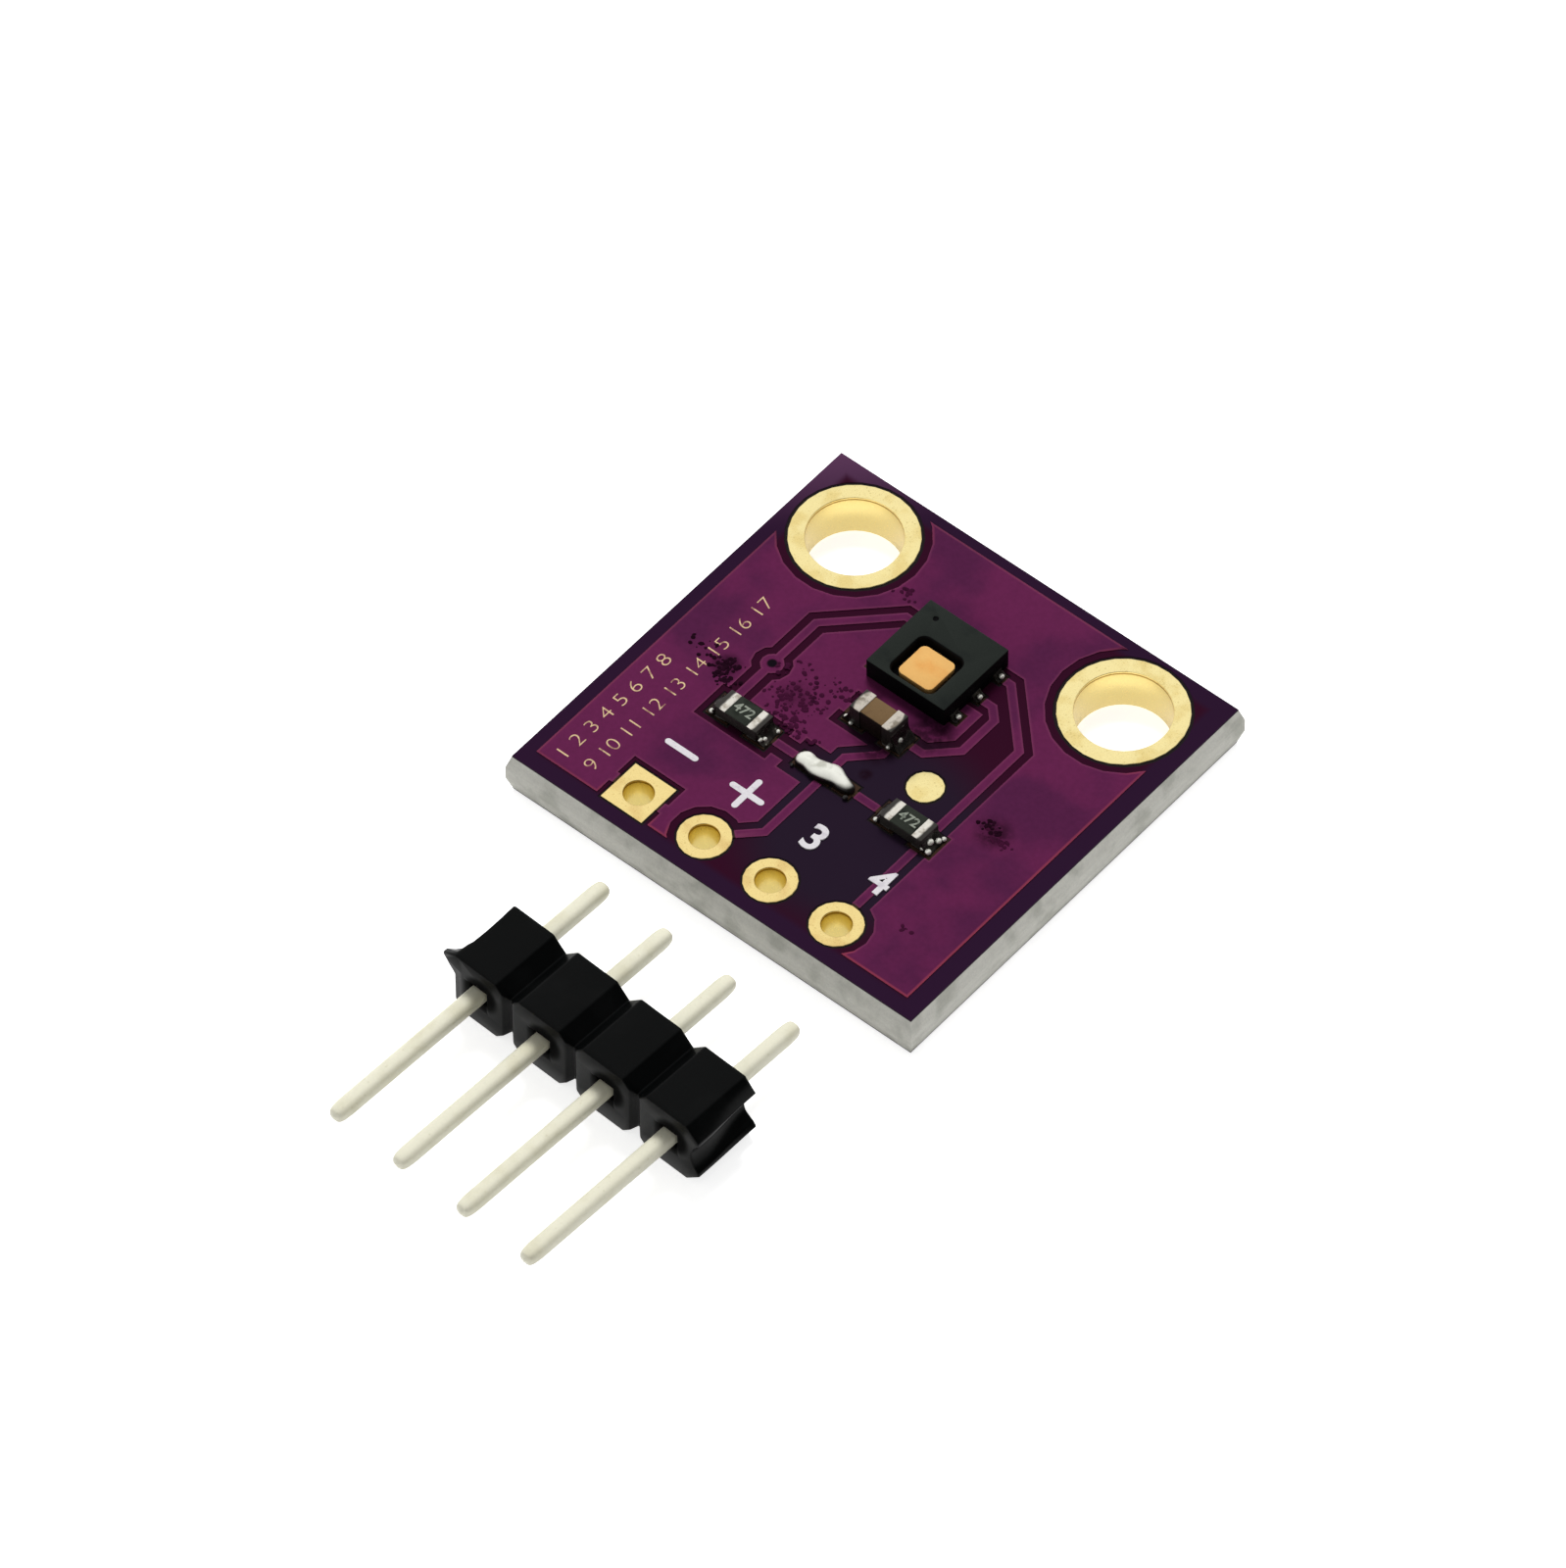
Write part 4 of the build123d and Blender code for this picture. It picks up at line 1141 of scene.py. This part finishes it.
@dataclass
class SolderJoints:
    """Molten-looking solder, worked up from the plain solids, with bright dots on it as painted glints, in
    millimetres.
    """

    finishes: Finishes
    voxel: float = 0.02
    smooth_steps: int = 10
    wobble: float = 0.03
    wobble_scale: float = 3.2
    seed_step: float = 3.1
    pad_top: float = 1.6
    bridge_y: float = -2.2
    bridge_half: float = 1.06
    bridge_width: float = 0.32
    bridge_height: float = 0.36
    bridge_foot: float = 0.28
    bridge_lumps: Point = (0.0, 0.03, 0.02)
    bridge_lump_scale: float = 3.4
    bridge_stations: int = 44
    bridge_sides: int = 28
    bridge_drips: tuple[Dot, ...] = ((0.92, -2.5, 1.66, 0.09), (-1.08, -2.56, 1.64, 0.06))
    # Bright solder dots where glints show: painted glints
    glint_beads: tuple[Dot, ...] = (
        (1.58, 3.94, 1.74, 0.09), (1.58, 2.93, 1.74, 0.09), (1.58, 1.94, 1.74, 0.09),
        (-1.08, 0.22, 1.67, 0.07), (-1.02, -0.13, 1.66, 0.085), (-0.76, -0.24, 1.66, 0.075),
        (0.84, 0.08, 1.84, 0.11), (0.80, -0.04, 1.74, 0.09), (0.68, -0.24, 1.66, 0.07),
        (0.97, 0.52, 1.66, 0.065), (-4.2, -2.54, 1.68, 0.09), (-2.2, -1.87, 1.66, 0.07),
        (-2.36, -2.5, 1.74, 0.08), (-2.24, -2.42, 1.8, 0.07), (2.14, -2.56, 1.68, 0.08),
        (3.97, -2.26, 1.8, 0.12), (4.1, -2.02, 1.72, 0.1), (4.16, -1.84, 1.68, 0.08),
        (4.12, -2.52, 1.7, 0.1), (3.92, -2.52, 1.72, 0.09))

    def joint(self, node: str, seed: float) -> None:
        """Remesh one node's solder finely, smooth it and give it seeded lumps.

        Args:
            node: The CAD node.
            seed: Offset into the noise.
        """
        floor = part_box(node)[0].z / MM
        source = scratch(node_bmesh(node))
        remesh = source.modifiers.new("fine_skin", "REMESH")
        remesh.mode = "VOXEL"
        remesh.voxel_size = self.voxel
        work = evaluated_bmesh(source)
        for _ in range(self.smooth_steps):
            bmesh.ops.smooth_vert(work, verts=work.verts[:], factor=0.5, use_axis_x=True, use_axis_y=True,
                                  use_axis_z=True)
        work.normal_update()
        offset = Vector((seed, seed * 0.7, 0.0))
        for vert in work.verts:
            vert.co += vert.normal * self.wobble * noise.noise(vert.co * self.wobble_scale + offset)
        for vert in work.verts:
            if vert.co.z < floor + self.voxel * 1.5:
                vert.co.z = floor
        # The joints take the dark solder: painted reflection and painted glints
        piece(work, node + "_joints", self.finishes.foot, (node,), 180.0)

    def bridge_section(self, share: float) -> Point:
        """Tell the bridge's section at one place.

        Args:
            share: Place along its half length, from -1 to 1.

        Returns:
            Its middle in Y, half width and height.
        """
        ends = math.sqrt(max(0.0, 1.0 - abs(share) ** 5))
        middle = self.bridge_y + waves(share, (0.05, 2.6, 0.5), (0.03, 7.0, 0.0))
        half = (self.bridge_width - 0.04 * share + waves(share, (0.035, 5.2, 1.4))) * ends
        height = self.bridge_height - 0.05 * share + waves(share, (0.03, 6.1, 0.7))
        height *= 0.25 + 0.75 * ends
        return middle, half, height

    def bridge(self) -> None:
        """Make the wavy solder bar that bridges the jumper's pads."""
        work = bmesh.new()
        low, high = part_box("jumper_solder")
        centre = (low.x + high.x) / 2 / MM
        rings = []
        for step in range(1, self.bridge_stations):
            share = -math.cos(math.pi * step / self.bridge_stations)
            middle, half, height = self.bridge_section(share)
            foot = height * self.bridge_foot
            ring = []
            for side in range(self.bridge_sides):
                angle = 2 * math.pi * side / self.bridge_sides
                up = math.sin(angle)
                rise = foot + (height - foot) * up ** 0.8 if up > 0 else foot * (1 + up)
                y = middle + half * math.cos(angle) * (1.0 if up > 0 else 1.0 + 0.12 * up)
                place = Vector((centre + self.bridge_half * share, y, self.pad_top + rise))
                if up > -0.2:
                    place += Vector(self.bridge_lumps) * noise.noise(place * self.bridge_lump_scale)
                ring.append(work.verts.new(place))
            rings.append(ring)
        skin(work, rings)
        for ring, end in ((rings[0], -1), (rings[-1], 1)):
            tip = work.verts.new((centre + end * self.bridge_half, self.bridge_section(end)[0],
                                  self.pad_top + 0.06))
            for first, second in zip(ring, ring[1:] + ring[:1]):
                work.faces.new((second, first, tip) if end < 0 else (first, second, tip))
        bmesh.ops.recalc_face_normals(work, faces=work.faces[:])
        whole = joined([work, dots(self.bridge_drips, self.finishes.solder)])
        piece(whole, "jumper_bridge", self.finishes.bridge, ("jumper_solder",), 180.0)

    def build(self) -> None:
        """Make every joint, the bridge and the bright dots at the parts' feet, which are painted glints."""
        for index, part in enumerate(("sensor", "capacitor", "resistor_left", "resistor_right")):
            self.joint(part + "_solder", self.seed_step * index)
        self.bridge()
        solder = self.finishes.solder
        piece(dots(self.glint_beads, solder), "painted_glint_beads", solder, (), 180.0)


@dataclass
class SmallParts:
    """The sensor, the capacitor and the two resistors, in millimetres."""

    finishes: Finishes
    package_round: float = 0.035
    cap_round: float = 0.04
    body_round: float = 0.03
    edge_round: float = 0.02
    glaze_round: float = 0.012
    digits: str = "472"
    digit_height: float = 0.33
    digit_depth: float = 0.012
    digit_weight: float = 0.008
    digit_sink: float = 0.004

    def build(self) -> None:
        """Dress the small parts and print the digits on the resistors."""
        finishes = self.finishes
        rows = [("sensor_package", self.package_round, finishes.moulding, Slot.MOULDING),
                ("sensing_film", self.edge_round, finishes.film, Slot.FILM),
                ("sensor_leads", self.edge_round, finishes.lead_tin, Slot.TIN),
                ("capacitor_body", self.body_round, finishes.ceramic, Slot.CERAMIC),
                ("capacitor_terminals", self.cap_round, finishes.cap_tin, Slot.TIN)]
        for side in ("left", "right"):
            rows += [(f"resistor_{side}_substrate", self.edge_round, finishes.alumina, Slot.ALUMINA),
                     (f"resistor_{side}_overcoat", self.glaze_round, finishes.glaze, Slot.GLAZE),
                     (f"resistor_{side}_terminals", self.cap_round, finishes.chip_tin, Slot.TIN)]
        for name, width, material, slot in rows:
            piece(softened(name, width), name + "_finished", material, (name,), 40.0)
        for side in ("left", "right"):
            low, high = (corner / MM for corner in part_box(f"resistor_{side}_overcoat"))
            centre = ((low.x + high.x) / 2, (low.y + high.y) / 2, high.z - self.digit_sink)
            work = number_mesh(self.digits, self.digit_height, centre, self.digit_depth, self.digit_weight)
            piece(work, f"resistor_{side}_digits", finishes.digit_ink)


@dataclass
class PrintedMarks:
    """White ink and bare gold marks on the lacquer, in millimetres."""

    finishes: Finishes
    ink_base: float = 1.585
    ink_depth: float = 0.047
    stroke: float = 0.21
    end_steps: int = 8
    number_height: float = 0.95
    number_weight: float = 0.03
    number_y: float = -4.25
    hole_numbers: tuple[tuple[str, float], ...] = (("3", 1.19), ("4", 3.73))
    scale_height: float = 0.48
    scale_base: float = 1.6
    scale_depth: float = 0.024
    scale_weight: float = -0.012
    scales: tuple[tuple[str, float, float, float], ...] = (
        ("1 2 3 4 5 6 7 8", -6.55, -4.25, 4.8), ("9 10 11 12 13 14 15 16 17", -5.62, -2.35, 8.3))

    def arms(self, x: float, y: float, spans: Sequence[float]) -> Mesh:
        """Make one mark of arms about a centre, with rounded ends.

        Args:
            x: Centre in millimetres.
            y: Centre in millimetres.
            spans: Reach of each arm, evenly turned about the centre.

        Returns:
            The mark as a closed plate.
        """
        work = bmesh.new()
        half = self.stroke / 2
        outline = []
        for index, reach in enumerate(spans):
            turn = Matrix.Rotation(2 * math.pi * index / len(spans), 2)
            points = [Vector((half, -half))] if len(spans) > 2 else []
            for step in range(self.end_steps + 1):
                angle = math.pi * (step / self.end_steps - 0.5)
                points.append(Vector((reach - half * (1 - math.cos(angle)), half * math.sin(angle))))
            outline += [turn @ point for point in points]
        base = [work.verts.new((x + point.x, y + point.y, self.ink_base)) for point in outline]
        risen = bmesh.ops.extrude_face_region(work, geom=[work.faces.new(base)])
        for item in risen["geom"]:
            if isinstance(item, bmesh.types.BMVert):
                item.co.z = self.ink_base + self.ink_depth
        bmesh.ops.triangulate(work, faces=[face for face in work.faces if len(face.verts) > 4])
        bmesh.ops.recalc_face_normals(work, faces=work.faces[:])
        return work

    def build(self) -> None:
        """Print the marks."""
        ink = self.finishes.ink
        piece(self.arms(-3.95, -4.21, (0.62, 0.62)), "minus_mark", ink)
        piece(self.arms(-1.41, -4.23, (0.64, 0.66, 0.64, 0.66)), "plus_mark", ink)
        for digit, x in self.hole_numbers:
            work = number_mesh(digit, self.number_height, (x, self.number_y, self.ink_base), self.ink_depth,
                               self.number_weight)
            piece(work, f"hole_number_{digit}", ink)
        for index, (text, x, y, length) in enumerate(self.scales):
            work = number_mesh(text, self.scale_height, (x, y, self.scale_base), self.scale_depth,
                               self.scale_weight, 90.0, length)
            piece(work, f"gold_scale_{index + 1}", self.finishes.mark_gold)


def ramp(value: float, low: float, high: float) -> float:
    """Rise smoothly from 0 at low to 1 at high."""
    share = min(1.0, max(0.0, (value - low) / (high - low)))
    return share * share * (3 - 2 * share)


@dataclass
class LooseHeader:
    """The pin header before the board, in its own axes: x along the strip, y along a pin, in millimetres."""

    finishes: Finishes
    insulator_round: float = 0.05
    end: float = 5.08
    end_zone: float = 4.3
    left_cut: float = 0.44
    left_waist: float = 0.07
    burr_length: float = 0.5
    burr_point: float = 0.06
    burr_rise: float = 0.24
    right_hollow: float = 0.34
    right_lip: float = 0.05
    cuts: tuple[tuple[int, tuple[float, ...]], ...] = (
        (1, (-1.1, -0.9, -0.7, -0.45, -0.2, 0.1, 0.4, 0.7, 0.95, 1.12)), (2, (-0.6, -0.3, 0.0, 0.3, 0.6)),
        (0, (-4.35, 4.35)))
    pin_half: float = 0.29
    pin_squareness: float = 2.5
    pin_sides: int = 28
    pin_front: float = -7.27
    pin_back: float = 4.27
    tip_steps: int = 7
    tip_length: float = 0.6
    tip_share: float = 0.34
    tip_flat: float = 0.03
    tip_core: float = 0.6

    def frame(self) -> Matrix:
        """Return the header's place and turn in millimetres."""
        return Matrix.Translation(HEADER_PLACE) @ Matrix.Rotation(math.radians(HEADER_TURN), 4, "Z")

    def snapped(self, place: Vector) -> Vector:
        """Move a point of the insulator's ends to where the snapped-off strip leaves it.

        Args:
            place: The point in the header's axes.

        Returns:
            The moved point.
        """
        x, y, z = place
        if x < -self.end_zone:
            burr = ramp(-y, 0.45, 1.2) * ramp(z, 0.35, 0.9)
            waist = self.left_waist * math.cos(math.pi * max(-1.0, min(1.0, y / 1.27)) / 2)
            limit = -self.end + self.left_cut + waist - self.burr_length * burr
            x = max(x, limit) - self.burr_point * burr * ramp(-x, 4.5, 4.7)
            z += self.burr_rise * burr * ramp(-x, 4.75, 5.0)
        elif x > self.end_zone:
            hollow = max(0.0, 1.0 - (z / 0.86) ** 2) * ramp(y, -0.9, 1.1)
            x -= self.right_hollow * hollow * ramp(x, 4.5, 4.9)
            x += self.right_lip * ramp(abs(z), 0.7, 0.9) * ramp(x, 4.9, 5.0)
        return Vector((x, y, z))

    def insulator(self) -> None:
        """Make the moulded strip with its snapped ends."""
        node = "header_insulator"
        work = softened(node, self.insulator_round, 3)
        work.transform(self.frame().inverted())
        for axis, places in self.cuts:
            normal = Vector((0, 0, 0))
            normal[axis] = 1.0
            for place in places:
                bmesh.ops.bisect_plane(work, geom=work.verts[:] + work.edges[:] + work.faces[:], dist=0.0001,
                                       plane_co=normal * place, plane_no=normal)
        for vert in work.verts:
            vert.co = self.snapped(vert.co)
        work.transform(self.frame())
        piece(work, node + "_moulded", self.finishes.header, (node,), 40.0)

    def pin(self, index: int) -> None:
        """Make one plated pin with softly squared sides and rounded ends.

        Args:
            index: The pin's number from 1.
        """
        tip = []
        for step in range(self.tip_steps + 1):
            share = step / self.tip_steps
            half = self.tip_share + (1 - self.tip_share) * math.sqrt(1 - (1 - share) ** 2)
            along = self.tip_flat + self.tip_length * (1 - math.cos(share * math.pi / 2))
            tip.append((along, self.pin_half * half))
        tip.insert(0, (0.0, tip[0][1] * self.tip_core))
        rows = [(self.pin_front + along, half) for along, half in tip]
        rows += [(self.pin_back - along, half) for along, half in reversed(tip)]
        power = 2 / self.pin_squareness
        work = bmesh.new()
        rings = []
        for y, half in rows:
            ring = []
            for side in range(self.pin_sides):
                angle = 2 * math.pi * side / self.pin_sides
                x, z = (math.copysign(abs(share) ** power, share) * half
                        for share in (math.cos(angle), math.sin(angle)))
                ring.append(work.verts.new((x, y, z)))
            rings.append(ring)
        skin(work, rings)
        for ring in (rings[0], rings[-1]):
            work.faces.new(ring)
        bmesh.ops.recalc_face_normals(work, faces=work.faces[:])
        work.transform(self.frame() @ Matrix.Translation(((index - 2.5) * PITCH, 0, 0)))
        node = f"header_pin_{index}"
        piece(work, node + "_plated", self.finishes.pin, (node,), 60.0)

    def build(self) -> None:
        """Make the insulator and its pins."""
        self.insulator()
        for index in range(1, 5):
            self.pin(index)


def scatter_tree(material: Material) -> Group:
    """Make the Geometry Nodes tree that scatters flat blots about a centre.

    Args:
        material: The blots' finish.

    Returns:
        A tree with inputs for count, centre, spread, size and seed.
    """
    tree, given = node_group(
        "scattered_blots", {"Geometry": "Geometry", "Int": "Count, Seed", "Vector": "Centre, Spread",
                            "Float": "Smallest, Largest"}, {"Geometry": "Geometry"}, "GeometryNodeTree")

    def chance(kind: str, **inputs: Any) -> Socket:
        """Add a random value.

        Args:
            kind: FLOAT or FLOAT_VECTOR.
            **inputs: Its least and most, and a seed or none.

        Returns:
            The value.
        """
        least, out = (2, 1) if kind == "FLOAT" else (0, 0)
        numbers = {"least": least, "most": least + 1, "seed": 8}
        values = {numbers[name]: value for name, value in inputs.items()}
        return tree.node("FunctionNodeRandomValue", values, data_type=kind).outputs[out]

    def away(shift: float) -> Socket:
        """Add a random vector from -1 to 1 with its own shift of the seed."""
        seed = tree.maths("ADD", given["Seed"], shift)
        return chance("FLOAT_VECTOR", least=(-1.0, -1.0, 0.0), most=(1.0, 1.0, 0.0), seed=seed)

    spread = tree.vector("MULTIPLY", tree.vector("ADD", away(0.0), away(11.0))[0], given["Spread"])[0]
    place = tree.vector("ADD", spread, given["Centre"])[0]
    points = tree.node("GeometryNodePoints", {"Count": given["Count"], "Position": place}).outputs[0]
    size_seed = tree.maths("ADD", given["Seed"], 23.0)
    width = chance("FLOAT", least=given["Smallest"], most=given["Largest"], seed=size_seed)
    depth = tree.maths("MULTIPLY", width, chance("FLOAT", least=0.6, most=1.5, seed=5))
    height = tree.maths("MULTIPLY", width, 0.22)
    scale = tree.node("ShaderNodeCombineXYZ", {0: width, 1: depth, 2: height}).outputs[0]
    turn = chance("FLOAT_VECTOR", least=(0.0, 0.0, 0.0), most=(0.0, 0.0, 6.2))
    return instances(tree, points, 2, material, Rotation=turn, Scale=scale)


@dataclass
class Residue:
    """Dark spots of dried flux: X, Y, spread in X and Y, how many, and whether they are dark."""

    finishes: Finishes
    level: float = 1.622
    smallest: float = 0.02
    largest: float = 0.085
    patches: tuple[tuple[float, float, float, float, int, bool], ...] = (
        (-5.0, -0.9, 0.26, 0.3, 56, True), (-4.8, -1.3, 0.34, 0.2, 24, True),
        (-2.6, -0.55, 0.56, 0.42, 110, False), (-2.3, -1.35, 0.4, 0.18, 34, False),
        (-1.75, 0.5, 0.3, 0.2, 22, False), (-2.7, 4.7, 0.34, 0.2, 14, False),
        (4.9, -0.6, 0.24, 0.16, 34, True), (5.4, -0.8, 0.3, 0.14, 22, False),
        (-1.6, -1.5, 0.34, 0.14, 18, False), (5.4, -5.1, 0.3, 0.12, 8, False),
        (-3.3, 0.3, 0.5, 0.3, 24, False), (-5.9, -0.8, 0.4, 0.3, 16, True))

    def build(self) -> None:
        """Scatter every patch of spots."""
        groups = {dark: (scatter_tree(material), material) for dark, material in
                  ((True, self.finishes.residue), (False, self.finishes.soft_residue))}
        for index, (x, y, wide, deep, count, dark) in enumerate(self.patches):
            group, material = groups[dark]
            work = run_nodes(scratch(bmesh.new()), group, Count=count, Centre=(x, y, self.level),
                             Spread=(wide, deep, 0.0), Smallest=self.smallest, Largest=self.largest,
                             Seed=index * 7 + 3)
            piece(work, f"flux_spots_{index + 1}", material, (), 60.0)


def main() -> None:
    """Build the scene piece by piece."""
    logging.basicConfig(level=logging.INFO, format="%(name)s: %(message)s")
    bpy.context.scene.view_settings.view_transform = "Standard"
    PhotoCamera().build()
    Studio().build()
    finishes = Finishes()
    for part in (Board, SolderJoints, SmallParts, PrintedMarks, LooseHeader, Residue):
        part(finishes).build()


if __name__ == "__main__":
    main()
